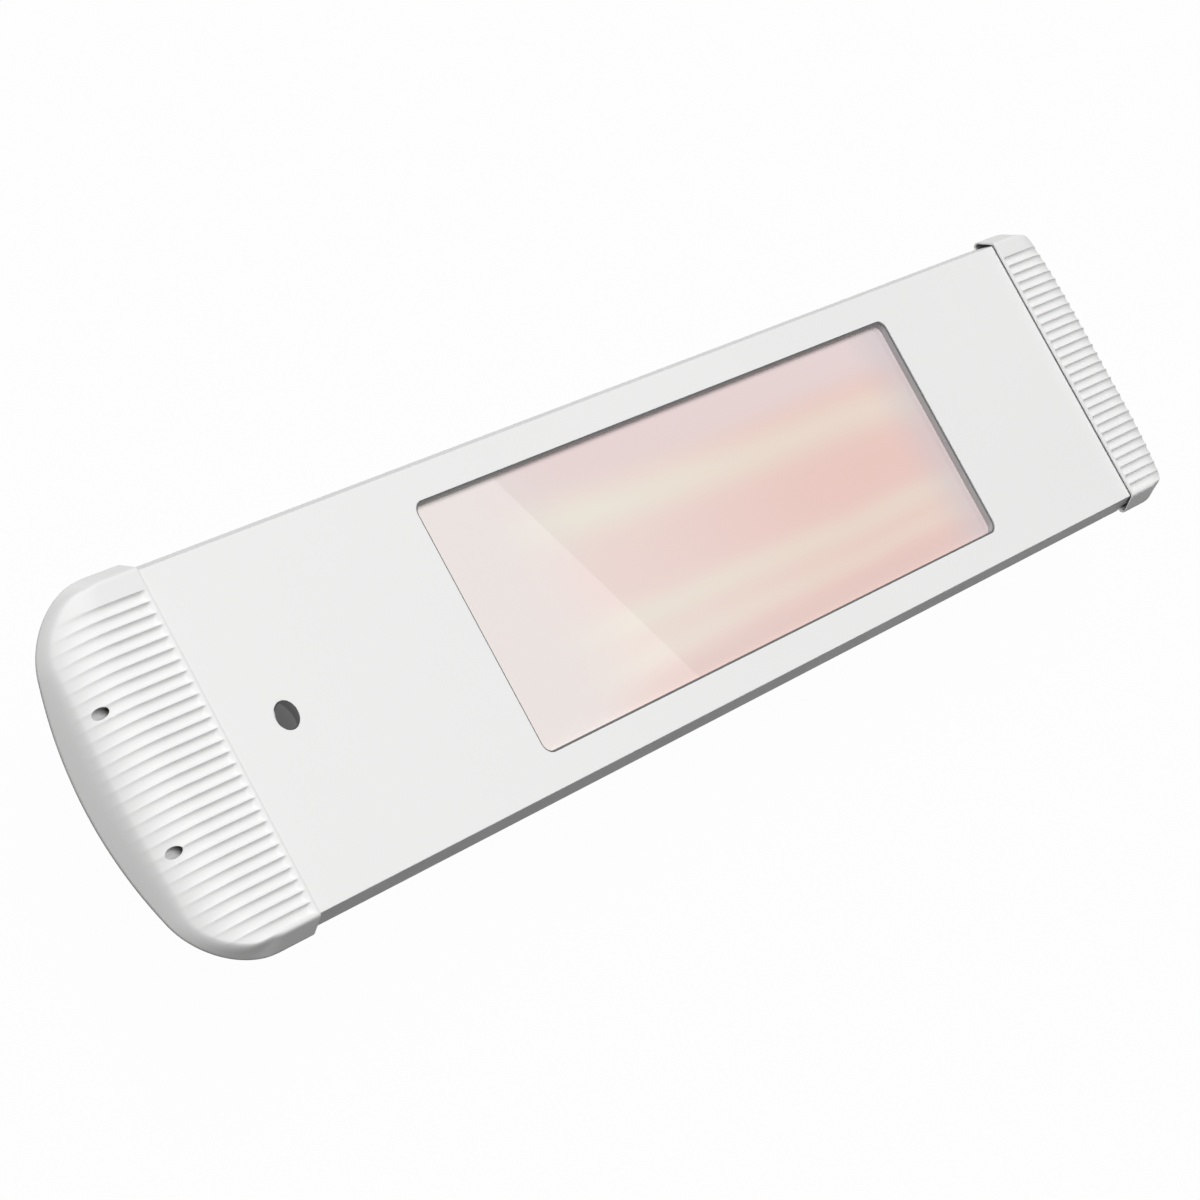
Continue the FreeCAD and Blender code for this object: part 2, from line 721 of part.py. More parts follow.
def tapered(name, inset, top, bottom):
    """A tub with round corners whose long sides lean in towards its floor."""
    sketches = []
    ends = ((top, "0"), (bottom, f"({bottom} - ({top})) / (box_depth) * box_taper"))
    for level, (depth, lean) in enumerate(ends):
        sketch = free_sketch(f"{name}_{level}", "XY", below(depth))
        draw(sketch, rounded("window_shift", "0", f"(box_length - 2 * ({inset}) - 2 * ({lean}))",
                             f"(box_width - 2 * ({inset}) - 2 * ({lean}))", f"(box_corner - {inset})"))
        sketches.append(sketch)
    tub = doc.addObject("Part::Loft", name)
    tub.Sections = sketches
    tub.Solid = True
    tub.Ruled = True
    return tub


def reflector_box():
    """The sheet-metal tub behind the window, hung by its flange from the fascia."""
    outline = rounded("window_shift", "0", FLANGE_LENGTH, FLANGE_WIDTH, "glass_corner")
    flange = prism("box_flange_sheet", "XY", outline, below(f"{FLANGE_FRONT} + box_wall"), "box_wall")
    tub = fuse("box_outside", flange, tapered("box_tub", "0", FLANGE_FRONT, "box_depth"))
    hollow = tapered("box_hollow", "box_wall", FLANGE_FRONT, BOX_INNER_FLOOR)
    screws, holes = [], []
    for index, (x, y) in enumerate(box_screw_places()):
        holes.append(rod(f"flange_hole_{index}", "Z", (x, y, below("box_depth")),
                         "box_screw_shank + 4 * thread_gap", "box_depth"))
        screws.append(box_screw(f"box_screw_{index}", x, y))
    for index, (x, y) in enumerate(hanger_screw_places()):
        holes.append(rod(f"floor_hole_{index}", "Z", (x, y, below("box_depth")),
                         "hanger_screw_shank + 2 * thread_gap", "box_wall"))
    node(cut("reflector_box", tub, hollow, *holes), "reflector_box")
    node(group("box_screws", screws), "box_screws")
    length = f"({FLANGE_LENGTH} - {GLASS_LENGTH}) / 2 - cover_gap"
    covers = [block(f"lamp_cover_{index}", (x, f"-{GLASS_WIDTH} / 2", below(FLANGE_FRONT)),
                    (length, GLASS_WIDTH, "box_wall"))
              for index, x in enumerate((f"window_shift - {FLANGE_LENGTH} / 2",
                                         f"window_shift + {GLASS_LENGTH} / 2 + cover_gap"))]
    node(group("lamp_covers", covers), "lamp_covers")


def box_screw(name, x, y):
    seat = f"{FLANGE_FRONT} + box_wall"
    head = rod(f"{name}_head", "Z", (x, y, below(f"{seat} + box_screw_head_height")),
               "box_screw_head", "box_screw_head_height")
    grip = f"{seat} - face_wall - gasket_wall"
    shank = rod(f"{name}_shank", "Z", (x, y, below(seat)), "box_screw_shank", grip)
    return fuse(name, head, shank)


def reflector():
    """A folded trough of polished sheet with flat rims, and the plates that close its ends."""
    body = make_body("reflector")
    rim, floor = "reflector_rim_drop", "(reflector_rim_drop + reflector_drop)"
    rim_half = "(box_width / 2 - box_wall - box_gap - box_taper * reflector_rim_drop / box_depth)"
    mouth, base, wall = "reflector_mouth / 2", "reflector_floor / 2", "reflector_wall"
    section = body_sketch(body, "YZ", "window_shift")
    draw(section, [
        (rim_half, below(rim)), (mouth, below(rim)), (base, below(floor)), (f"-{base}", below(floor)),
        (f"-{mouth}", below(rim)), (f"-{rim_half}", below(rim)),
        (f"-{rim_half}", below(f"{rim} + {wall}")), (f"-{mouth} - {wall}", below(f"{rim} + {wall}")),
        (f"-{base} - {wall}", below(f"{floor} + {wall}")), (f"{base} + {wall}", below(f"{floor} + {wall}")),
        (f"{mouth} + {wall}", below(f"{rim} + {wall}")), (rim_half, below(f"{rim} + {wall}")),
    ])
    pad(body, section, "reflector_length", symmetric=True)
    for label, start in (("reflector_end_left", "-reflector_length / 2 - reflector_end_wall"),
                         ("reflector_end_right", "reflector_length / 2")):
        plate = make_body(label)
        outline = body_sketch(plate, "YZ", f"window_shift + {start}")
        foot_half = "(insulation_width / 2)"
        draw(outline, [(rim_half, below(rim)), (f"-{rim_half}", below(rim)),
                       (f"-{foot_half}", below(BOX_INNER_FLOOR)), (foot_half, below(BOX_INNER_FLOOR))])
        for sign in ("-", ""):
            circle(outline, f"{sign}lamp_pitch / 2", below("lamp_drop"), "lamp_diameter / 2 + lamp_gap")
        pad(plate, outline, "reflector_end_wall")


def lamps():
    """Two quartz tubes with ceramic bases, each with a wire filament on disc supports."""
    tube_length = "(reflector_length + 2 * reflector_end_wall + 2 * lamp_base_socket)"
    start = f"window_shift - {tube_length} / 2"
    level = below("lamp_drop")
    bases = []
    for label, sign in (("lower", "-"), ("upper", "")):
        y = f"{sign}lamp_pitch / 2"
        outside = rod(f"tube_outside_{label}", "X", (start, y, level), "lamp_diameter", tube_length)
        inside = rod(f"tube_inside_{label}", "X", (start, y, level), "lamp_diameter - 2 * lamp_wall",
                     tube_length)
        node(cut(f"lamp_tube_{label}", outside, inside), f"lamp_tube_{label}")
        wires = [rod(f"filament_{label}", "X", (start, y, level), "filament_diameter", tube_length)]
        for index in range(int(number("filament_support_count"))):
            x = f"{start} + ({index} + 0.5) * {tube_length} / filament_support_count"
            wires.append(rod(f"support_{label}_{index}", "X", (x, y, level),
                             "lamp_diameter - 2 * lamp_wall - 2 * lamp_gap", "filament_support_wall"))
        node(fuse(f"lamp_filament_{label}", *wires), f"lamp_filament_{label}")
        far_socket = f"{start} + {tube_length} - lamp_base_socket"
        for end, base_start, socket_start in (
                ("near", f"{start} - lamp_base_length + lamp_base_socket", start),
                ("far", far_socket, far_socket)):
            base = rod(f"base_{label}_{end}", "X", (base_start, y, level), "lamp_base_diameter",
                       "lamp_base_length")
            socket = rod(f"socket_{label}_{end}", "X", (socket_start, y, level),
                         "lamp_diameter + 2 * lamp_gap", "lamp_base_socket")
            bases.append(cut(f"lamp_base_{label}_{end}", base, socket))
    node(group("lamp_bases", bases), "lamp_bases")
    lamp_holders()


def lamp_holders():
    """Ceramic blocks that stand on the box floor and carry the lamp bases."""
    inner = "(reflector_length / 2 + reflector_end_wall + lamp_base_socket)"
    rise = f"({BOX_INNER_FLOOR} - lamp_drop + lamp_holder_rise)"
    for label, x in (("lamp_holder_left", f"window_shift - {inner} - lamp_holder_wall"),
                     ("lamp_holder_right", f"window_shift + {inner}")):
        slab = block(f"{label}_slab", (x, "-lamp_holder_width / 2", below(BOX_INNER_FLOOR)),
                     ("lamp_holder_wall", "lamp_holder_width", rise))
        bores = [rod(f"{label}_bore_{sign}", "X", (x, f"{sign}lamp_pitch / 2", below("lamp_drop")),
                     "lamp_base_diameter + 2 * lamp_gap", "lamp_holder_wall") for sign in ("-", "")]
        node(cut(label, slab, *bores), label)


def heat_barrier():
    """A fibre board on the box floor with a bright steel sheet over it."""
    x, y = "window_shift - insulation_length / 2", "-insulation_width / 2"
    board = block("insulation_board", (x, y, below(BOX_INNER_FLOOR)),
                  ("insulation_length", "insulation_width", "insulation_wall"))
    node(board, "insulation_board")
    shield = block("heat_shield", (x, y, below(f"{BOX_INNER_FLOOR} - insulation_wall")),
                   ("insulation_length", "insulation_width", "shield_wall"))
    node(shield, "heat_shield")


def sensor():
    """A dark crowned lens in the fascia, on a sleeve that stands on the control board."""
    lens = make_body("sensor_lens")
    radius = "(sensor_bore / 2 - lens_gap)"
    crown = f"(({radius} ^ 2 + lens_crown ^ 2) / (2 * lens_crown))"
    flange = "(lens_flange / 2)"
    centre = "-sensor_offset"
    half = body_sketch(lens, "XZ")
    bind(half, AttachmentOffset__Base__x=centre)
    draw(half, [
        ("0", below("face_wall + lens_flange_wall")), (flange, below("face_wall + lens_flange_wall")),
        (flange, below("face_wall")), (radius, below("face_wall")),
        (radius, below("lens_recess + lens_crown"), crown, 1), ("0", below("lens_recess")),
    ])
    spin = lens.newObject("PartDesign::Revolution", "lens_spin")
    spin.Profile = half
    spin.ReferenceAxis = (half, ["V_Axis"])
    doc.recompute()
    sleeve = make_body("sensor_holder")
    ring = body_sketch(sleeve, "XY", below("board_drop"))
    circle(ring, centre, "0", flange)
    circle(ring, centre, "0", f"{flange} - sensor_holder_wall")
    pad(sleeve, ring, "board_drop - face_wall - lens_flange_wall")


def board_corners():
    """The places of the four standoffs under the fascia."""
    x, y = "(board_length / 2 - standoff_inset)", "(board_width / 2 - standoff_inset)"
    return [(f"-sensor_offset + board_shift + {a}{x}", f"{b}{y}") for a in ("-", "") for b in ("-", "")]


def electronics():
    """The control board, its fixings and its parts, behind the sensor."""
    back = "(board_drop + board_wall)"
    board = make_body("control_board")
    outline = body_sketch(board, "XY", below("board_drop"))
    centre = "-sensor_offset + board_shift"
    draw(outline, box_corners(f"{centre} - board_length / 2", f"{centre} + board_length / 2",
                              "-board_width / 2", "board_width / 2"))
    for x, y in board_corners():
        circle(outline, x, y, "board_screw_shank / 2 + 2 * thread_gap")
    pad(board, outline, "board_wall", reverse=True)
    posts, screws = [], []
    for index, (x, y) in enumerate(board_corners()):
        post = rod(f"post_{index}", "Z", (x, y, below("board_drop")), "standoff_diameter",
                   "board_drop - face_wall")
        bore = rod(f"post_bore_{index}", "Z", (x, y, below("board_drop")),
                   "board_screw_shank + 2 * thread_gap", "board_drop - face_wall")
        posts.append(cut(f"standoff_{index}", post, bore))
        head = rod(f"board_head_{index}", "Z", (x, y, below(f"{back} + board_screw_head_height")),
                   "board_screw_head", "board_screw_head_height")
        shank = rod(f"board_shank_{index}", "Z", (x, y, below(back)), "board_screw_shank",
                    f"{back} - face_wall - screw_tip_gap")
        screws.append(fuse(f"board_screw_{index}", head, shank))
    node(group("board_standoffs", posts), "board_standoffs")
    node(group("board_screws", screws), "board_screws")
    receiver = block("infrared_receiver",
                     ("-sensor_offset - receiver_side / 2", "-receiver_side / 2", below("board_drop")),
                     ("receiver_side", "receiver_side", "receiver_height"))
    node(receiver, "infrared_receiver")
    relay = block("power_relay",
                  (f"{centre} + board_length / 4", "-relay_width / 2", below(f"{back} + relay_height")),
                  ("relay_length", "relay_width", "relay_height"))
    node(relay, "power_relay")
    can = rod("supply_capacitor", "X",
              (f"{centre} - board_length / 4", "relay_width", below(f"{back} + capacitor_diameter / 2")),
              "capacitor_diameter", "capacitor_length")
    node(can, "supply_capacitor")
    heat_sink(f"{centre} - board_length / 4", "-relay_width - heat_sink_width", back)


def heat_sink(x, y, back):
    """A small finned plate under the board."""
    plate = block("heat_sink_plate", (x, y, below(f"{back} + heat_sink_base")),
                  ("heat_sink_length", "heat_sink_width", "heat_sink_base"))
    gap = "(heat_sink_width - heat_sink_fin_wall) / (heat_sink_fin_count - 1)"
    fins = [block(f"heat_sink_fin_{index}",
                  (x, f"{y} + {index} * {gap}", below(f"{back} + heat_sink_base + heat_sink_fin_height")),
                  ("heat_sink_length", "heat_sink_fin_wall", "heat_sink_fin_height"))
            for index in range(int(number("heat_sink_fin_count")))]
    node(fuse("triac_heat_sink", plate, *fins), "triac_heat_sink")


def supply_side():
    """Terminal block, earth stud and cable gland behind the far end."""
    low = ("terminal_offset - terminal_length / 2", "-terminal_width / 2",
           below("face_wall + terminal_height"))
    slab = block("terminal_slab", low, ("terminal_length", "terminal_width", "terminal_height"))
    ways = [rod(f"terminal_way_{index}", "X", ("terminal_offset - terminal_length / 2",
                f"({index} - (terminal_count - 1) / 2) * terminal_width / terminal_count",
                below("face_wall + terminal_height / 2")), "terminal_bore", "terminal_length")
            for index in range(int(number("terminal_count")))]
    node(cut("terminal_block", slab, *ways), "terminal_block")
    stud = rod("earth_stud", "Z", ("earth_offset", "earth_side", below("face_wall + earth_length")),
               "earth_diameter", "earth_length")
    node(stud, "earth_stud")
    nut_level = below("face_wall + earth_length / 2 + earth_nut_height / 2")
    nut = cut("earth_nut", hexagon("earth_nut_hex", "Z", ("earth_offset", "earth_side", nut_level),
                                   "earth_nut_flats", "earth_nut_height"),
              rod("earth_nut_bore", "Z", ("earth_offset", "earth_side", nut_level),
                  "earth_diameter + 2 * thread_gap", "earth_nut_height"))
    node(nut, "earth_nut")
    gland()


def gland():
    """The supply inlet: body, inner locknut, rubber seal and dome nut, all on one axis."""
    x = "gland_offset"
    skin = "(belly_depth - tray_wall)"
    hex_top = below("belly_depth + gland_gap")
    hex_low = below("belly_depth + gland_gap + gland_hex_height")
    barrel_low = below("belly_depth + gland_gap + gland_hex_height + gland_barrel_height")
    body = fuse("gland_body_outside",
                hexagon("gland_hex", "Z", (x, "0", hex_low), "gland_flats", "gland_hex_height"),
                rod("gland_stub", "Z", (x, "0", hex_top), "gland_thread",
                    "gland_gap + tray_wall + 2 * gland_gap + gland_nut_height"),
                rod("gland_barrel", "Z", (x, "0", barrel_low), "gland_thread", "gland_barrel_height"))
    bore = rod("gland_way", "Z", (x, "0", barrel_low), "gland_bore", "belly_depth")
    seal_seat = rod("gland_seal_seat", "Z", (x, "0", barrel_low), "gland_bore + 2 * gland_seal_wall",
                    "gland_seal_height")
    node(cut("gland_body", body, bore, seal_seat), "gland_body")
    seal = cut("gland_seal", rod("seal_outside", "Z", (x, "0", barrel_low),
                                 "gland_bore + 2 * gland_seal_wall - 2 * thread_gap", "gland_seal_height"),
               rod("seal_way", "Z", (x, "0", barrel_low), "gland_bore", "gland_seal_height"))
    node(seal, "gland_seal")
    nut_low = f"{below(skin)} + 2 * gland_gap"
    nut = cut("gland_locknut",
              hexagon("gland_nut_hex", "Z", (x, "0", nut_low), "gland_nut_flats", "gland_nut_height"),
              rod("gland_nut_bore", "Z", (x, "0", nut_low), "gland_thread + 2 * thread_gap",
                  "gland_nut_height"))
    node(nut, "gland_locknut")
    dome_low = f"{barrel_low} - (gland_dome_height - gland_barrel_height) - gland_gap"
    dome = cut("gland_dome",
               rod("dome_outside", "Z", (x, "0", dome_low), "gland_dome_diameter", "gland_dome_height"),
               rod("dome_thread", "Z", (x, "0", f"{barrel_low} - gland_gap"), "gland_thread + 2 * thread_gap",
                   "gland_dome_height"),
               rod("dome_way", "Z", (x, "0", dome_low), "gland_bore", "gland_dome_height"))
    node(dome, "gland_dome")


def hanger_screw_places():
    return [(f"{a}hanger_screw_pitch_x / 2", f"{b}hanger_screw_pitch_y / 2")
            for a in ("-", "") for b in ("-", "")]


def hanger():
    """The channel under the box whose ears hang on the pivot bolts and carry the lock bolts."""
    body = make_body("hanger_bracket")
    plate_low = f"({PIVOT} + hanger_drop - hanger_wall)"
    plate = body_sketch(body, "XY", plate_low)
    draw(plate, box_corners("-hanger_length / 2", "hanger_length / 2",
                            "-hanger_width / 2", "hanger_width / 2"))
    for x, y in hanger_screw_places():
        circle(plate, x, y, "hanger_screw_shank / 2 + thread_gap")
    pad(body, plate, "hanger_wall")
    half = "(hanger_ear_width / 2)"
    foot = f"({PIVOT} - hanger_ear_reach + {half})"
    for level, reverse in (("-hanger_length / 2", False), ("hanger_length / 2", True)):
        ear = body_sketch(body, "YZ", level)
        draw(ear, [(half, f"{PIVOT} + hanger_drop"), (f"-{half}", f"{PIVOT} + hanger_drop"),
                   (f"-{half}", foot, f"{half} * half_round", 1), (half, foot)])
        circle(ear, "0", PIVOT, "pivot_diameter / 2 + pivot_running_gap")
        circle(ear, "0", f"{PIVOT} - lock_radius", "lock_diameter / 2 + thread_gap")
        pad(body, ear, "hanger_wall", reverse=reverse)
    screws = []
    for index, (x, y) in enumerate(hanger_screw_places()):
        head = rod(f"hanger_head_{index}", "Z", (x, y, f"{plate_low} - hanger_screw_head_height"),
                   "hanger_screw_head", "hanger_screw_head_height")
        shank = rod(f"hanger_shank_{index}", "Z", (x, y, plate_low), "hanger_screw_shank",
                    "hanger_wall + box_wall")
        screws.append(fuse(f"hanger_screw_{index}", head, shank))
    node(group("hanger_screws", screws), "hanger_screws")


WALL_EAR = "(hanger_length / 2 + ear_gap)"


def wall_bracket():
    """The channel fixed to the wall, with a pivot hole and an arc slot in each ear."""
    body = make_body("wall_bracket")
    outside = f"({WALL_EAR} + wall_plate_wall)"
    plate = body_sketch(body, "XY")
    draw(plate, box_corners(f"-{outside}", outside, "-wall_plate_width / 2", "wall_plate_width / 2"))
    for a in ("-", ""):
        for b in ("-", ""):
            circle(plate, f"{a}wall_bolt_pitch_x / 2", f"{b}wall_bolt_pitch_y / 2", "wall_bolt_bore / 2")
    pad(body, plate, "wall_plate_wall")
    half = "(wall_ear_width / 2)"
    top = f"({PIVOT} + wall_ear_top)"
    crown = "(wall_ear_top * half_round)"
    slot_in = "(lock_radius - lock_diameter / 2 - lock_slot_gap)"
    slot_out = "(lock_radius + lock_diameter / 2 + lock_slot_gap)"
    slot_end = "(lock_diameter / 2 + lock_slot_gap) * half_round"
    sine, cosine = "sin(lock_swing * 1 deg)", "cos(lock_swing * 1 deg)"
    for level, reverse in ((f"-{outside}", False), (outside, True)):
        ear = body_sketch(body, "YZ", level)
        draw(ear, [(half, "0"), ("wall_ear_top", PIVOT, crown, 1),
                   ("-wall_ear_top", PIVOT), (f"-{half}", "0")])
        circle(ear, "0", PIVOT, "pivot_diameter / 2 + pivot_fixed_gap")
        draw(ear, [
            (f"-{slot_in} * {sine}", f"{PIVOT} - {slot_in} * {cosine}", slot_in, 1),
            (f"{slot_in} * {sine}", f"{PIVOT} - {slot_in} * {cosine}", slot_end, -1),
            (f"{slot_out} * {sine}", f"{PIVOT} - {slot_out} * {cosine}", slot_out, -1),
            (f"-{slot_out} * {sine}", f"{PIVOT} - {slot_out} * {cosine}", slot_end, -1),
        ])
        pad(body, ear, "wall_plate_wall", reverse=reverse)


def bolt_set(name, label, pieces):
    """The same fastener at both ears."""
    twins = [mirrored(f"{name}_twin_{index}", piece) for index, piece in enumerate(pieces)]
    node(group(label, pieces + twins), label)


def washer(name, start, z, outside, bore, wall):
    return cut(name, rod(f"{name}_disc", "X", (start, "0", z), outside, wall),
               rod(f"{name}_hole", "X", (start, "0", z), bore, wall))


def pivots():
    """Bolts through both ears: the heater's ears turn on them."""
    face = f"({WALL_EAR} + wall_plate_wall)"
    inner = "(hanger_length / 2 - hanger_wall - pivot_nut_gap)"
    head_seat = f"({face} + washer_wall)"
    loose = "pivot_diameter + 2 * pivot_fixed_gap"
    bolt = fuse("pivot_bolt",
                hexagon("pivot_head", "X", (head_seat, "0", PIVOT), "pivot_head_flats", "pivot_head_height"),
                rod("pivot_shank", "X", (f"{inner} - pivot_nut_height - pivot_tip", "0", PIVOT),
                    "pivot_diameter", f"{head_seat} - {inner} + pivot_nut_height + pivot_tip"))
    bolt_set("pivot_bolt", "pivot_bolts", [bolt])
    bolt_set("pivot_washer", "pivot_washers", [
        washer("pivot_washer", face, PIVOT, "washer_diameter", loose, "washer_wall")])
    bolt_set("friction_washer", "friction_washers", [
        washer("friction_washer", f"{WALL_EAR} - friction_washer_wall", PIVOT, "washer_diameter", loose,
               "friction_washer_wall")])
    nut = cut("pivot_nut", hexagon("pivot_nut_hex", "X", (f"{inner} - pivot_nut_height", "0", PIVOT),
                                   "pivot_head_flats", "pivot_nut_height"),
              rod("pivot_nut_bore", "X", (f"{inner} - pivot_nut_height", "0", PIVOT),
                  "pivot_diameter + 2 * thread_gap", "pivot_nut_height"))
    bolt_set("pivot_nut", "pivot_nuts", [nut])


def locks():
    """Clamp bolts fixed in the heater's ears that slide along the wall bracket's arc slots."""
    level = f"({PIVOT} - lock_radius)"
    face = f"({WALL_EAR} + wall_plate_wall + lock_washer_gap)"
    head_seat = f"({face} + washer_wall)"
    inner = "(hanger_length / 2 - hanger_wall)"
    bolt = fuse("lock_bolt",
                hexagon("lock_head", "X", (head_seat, "0", level), "lock_head_flats", "lock_head_height"),
                rod("lock_shank", "X", (f"{inner} - lock_nut_height", "0", level), "lock_diameter",
                    f"{head_seat} - {inner} + lock_nut_height"))
    bolt_set("lock_bolt", "lock_bolts", [bolt])
    bolt_set("lock_washer", "lock_washers", [
        washer("lock_washer", face, level, "lock_washer_diameter", "lock_diameter + 2 * thread_gap",
               "washer_wall")])
    nut_start = (f"{inner} - lock_nut_height", "0", level)
    nut = cut("lock_nut",
              hexagon("lock_nut_hex", "X", nut_start, "lock_head_flats", "lock_nut_height"),
              rod("lock_nut_bore", "X", nut_start, "lock_diameter + 2 * thread_gap", "lock_nut_height"))
    bolt_set("lock_nut", "lock_nuts", [nut])


def write_parts():
    """Checks every object, then writes each piece's solid."""
    doc.recompute()
    failed = [item.Label for item in doc.Objects if {"Invalid", "Error"} & set(item.State)]
    if failed:
        raise ValueError(f"failed objects: {failed}")
    bad = [item.Label for item in nodes if item.Shape.isNull() or not item.Shape.isValid()]
    if bad:
        raise ValueError(f"bad shapes: {bad}")
    os.makedirs("parts", exist_ok=True)
    for item in nodes:
        item.Shape.exportStep(f"parts/{item.Label}.step")
        print(f"{item.Label}: {len(item.Shape.Solids)} solids, {item.Shape.Volume:.0f} mm3")


front_profile()
rear_tray()
end_caps()
end_seals()
window()
reflector_box()
reflector()
lamps()
heat_barrier()
sensor()
electronics()
supply_side()
hanger()
wall_bracket()
pivots()
locks()
write_parts()
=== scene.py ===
import json

import bpy
import numpy as np
from mathutils import Matrix, Vector


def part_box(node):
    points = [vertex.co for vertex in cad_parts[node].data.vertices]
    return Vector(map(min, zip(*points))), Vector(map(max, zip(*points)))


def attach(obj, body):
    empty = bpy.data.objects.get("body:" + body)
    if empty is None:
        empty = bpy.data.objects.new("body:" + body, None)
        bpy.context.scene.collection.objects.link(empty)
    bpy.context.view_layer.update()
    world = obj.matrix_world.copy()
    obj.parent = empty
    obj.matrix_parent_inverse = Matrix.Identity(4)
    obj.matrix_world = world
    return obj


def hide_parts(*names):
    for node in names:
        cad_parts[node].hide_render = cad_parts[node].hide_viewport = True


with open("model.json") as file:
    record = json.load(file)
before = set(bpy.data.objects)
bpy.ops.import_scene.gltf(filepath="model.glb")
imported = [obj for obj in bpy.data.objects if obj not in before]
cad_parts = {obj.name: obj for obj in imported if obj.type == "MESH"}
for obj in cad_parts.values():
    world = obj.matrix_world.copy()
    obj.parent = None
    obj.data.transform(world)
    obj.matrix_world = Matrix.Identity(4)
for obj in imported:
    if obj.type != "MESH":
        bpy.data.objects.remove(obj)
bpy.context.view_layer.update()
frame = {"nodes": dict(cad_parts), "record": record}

MM = 0.001
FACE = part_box("front_profile")[1][2] / MM
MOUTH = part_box("end_cap_right")[0][0] / MM

# Ribbed hood, in millimetres: u runs out from its mouth, y across, z up from the heater's face.
CAP_TOP = 2.3
CAP_FLAT = 28.0
CAP_NOSE = 27.5
CAP_CROWN = 7.5
CAP_REACH = 55.1
CAP_HALF = 81.0
CAP_CORNER = 33.0
CAP_END_ARC = 450.0
CAP_RIM = -9.2
CAP_BELLY = -22.8
END_DROP = 5.2
RIM_ROUND = 2.5

# Its wall, as rise over run, and the soft edge above it, each on the sides and across the end. They go
# from one to the other as the wall turns towards the end.
SIDE_DRAFT = 1.736
END_DRAFT = 4.6
SIDE_EDGE = 1.4
END_EDGE = 5.0
END_FACING = (0.2, 0.8)

# The lip at its mouth, with the inside's share of the width and of the height above the rim.
LIP_ROUND = 0.25
LIP_RUN = 0.6
LIP_DEEP = 1.0
LIP_SCALE = (0.9905, 0.93)

# Its flutes: they sink in over RIB_RISE behind the mouth and ease off over RIB_FADE before the end.
RIB_COUNT = 28
RIB_PITCH = 5.04
RIB_SHIFT = -3.85
RIB_DEPTH = 1.6
RIB_POWER = 2.6
RIB_RISE = (1.2, 3.8)
RIB_STOP = 2.0
RIB_FADE = 36.0

# Its screw holes, and the patch of skin round each of them along and across.
SCREW_SIDE = 29.6
SCREW_DROP = -3.9
SCREW_BORE = 2.3
SCREW_SEAT = 12.0
BORE_EDGE = 0.15
BORE_NARROWS = 0.95
# BORE_SHADE: painted shade inside the screw bores, as the step of the shade mask from ring to ring down each
# bore.
BORE_SHADE = 0.5
HOLE_PATCH = (5.6, 4.0)

# Steps of its grid.
COLUMNS_PER_RIB = 14
FLANK_COLUMNS = 27
FLANK_CLOSING = 0.85
LIP_WAYS = (0.0, 0.25, LIP_RUN)
RISE_ROWS = 9
SKIN_ROWS = 92
SKIN_CLOSING = 1.35
RIM_STEPS = 9
BELLY_STEPS = 9
HOLE_RINGS = 9

# Sensor lens, in millimetres.
LENS_PLACE = -280.0
LENS_RADIUS = 6.2
LENS_CROWN = 0.95
LENS_RIM = 0.1
LENS_ROUND = 0.08
LENS_DEEP = 1.5
LENS_RINGS = 13
LENS_SPOKES = 73

# Trim in the window's opening, in millimetres: how far in from the edge, how far below the face, and
# whether the point is on the dark top edge (0) or on the paler inner wall (1).
WINDOW_SIZE = (359.0, 120.0)
WINDOW_SHIFT = 17.7
WINDOW_CORNER = 5.5
PANE_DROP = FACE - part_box("window_glass")[1][2] / MM
# The trim's dark top edge is painted shadow of a gap between the fascia and the trim.
TRIM_PROFILE = np.array([
    (0.05, PANE_DROP, 1), (0.05, 0.6, 0), (0.15, 0.4, 0), (0.85, 0.4, 0), (0.95, 0.5, 0),
    (1.0, 0.7, 0.5), (1.05, 1.0, 1), (1.05, PANE_DROP, 1), (0.05, PANE_DROP, 1),
])
TRIM_CORNER_STEPS = 10

# Meshes: points that agree to this many decimals of a metre are one, and edges above the angle are sharp.
MERGE_DECIMALS = 7
SHARP_ANGLE = 40.0
TINY = 1e-6

# Painted lamp glow of the pane: spans and streaks in metres, with each streak's height, lean, width and
# strength.
GLOW_ALONG = (-0.10, 0.13)
GLOW_LIT = (-0.13, -0.06)
GLOW_FAR = (0.028, 0.048)
GLOW_NEAR = (0.044, 0.058)
GLOW_END = (0.155, 0.205)
GLOW_SWAY = 0.008
NEAR_SHARE = 0.6
END_SHARE = 0.75
STREAKS = (
    (0.0258, -0.033, 0.0105, 1.0),
    (-0.0240, -0.018, 0.0070, 0.65),
    (-0.0420, 0.0, 0.0055, 0.5),
    (-0.0320, 0.0, 0.0130, 0.3),
)
BELL_BASE = 2.718
# Tones of the painted lamp glow: field, streaks, far and near edges, the unlit left end and the cooler right
# end.
FIELD_TONES = (0.725, 0.584, 0.552), (0.718, 0.489, 0.443)
STREAK_TONES = (0.718, 0.674, 0.591), (0.718, 0.591, 0.508)
FAR_TONE = (0.688, 0.565, 0.558)
UNLIT_TONE = (0.675, 0.614, 0.592)
NEAR_TONE = (0.640, 0.480, 0.445)
END_TONE = (0.529, 0.486, 0.515)

# Relief and soft edges in the finishes, in metres, and how far their gloss spreads.
PEBBLE_HEIGHT = 0.0004
LINE_HEIGHT = 0.0002
METAL_EDGE = 0.0003
EDGE_SAMPLES = 4
COAT_CLOUD = (0.25, 0.75)
COAT_SPREAD = 0.05
METAL_CLOUD = (0.2, 0.8)
METAL_SPREAD = (-0.07, 0.09)
METAL_DARK = 0.9
HAZE_CLOUD = (0.3, 0.8)
HAZE_SPREAD = 0.06

# Camera, in metres.
CAMERA_PLACE = (-1.15588, -0.10127, 1.07214)
CAMERA_RIGHT = (0.61284, -0.474905, 0.631579)
CAMERA_UP = (0.27814, 0.877749, 0.390121)
CAMERA_BACK = (-0.739639, -0.063414, 0.67001)
CAMERA_LENS = 99.619
CAMERA_SENSOR = 36.0
CAMERA_SIGHT = 50.0

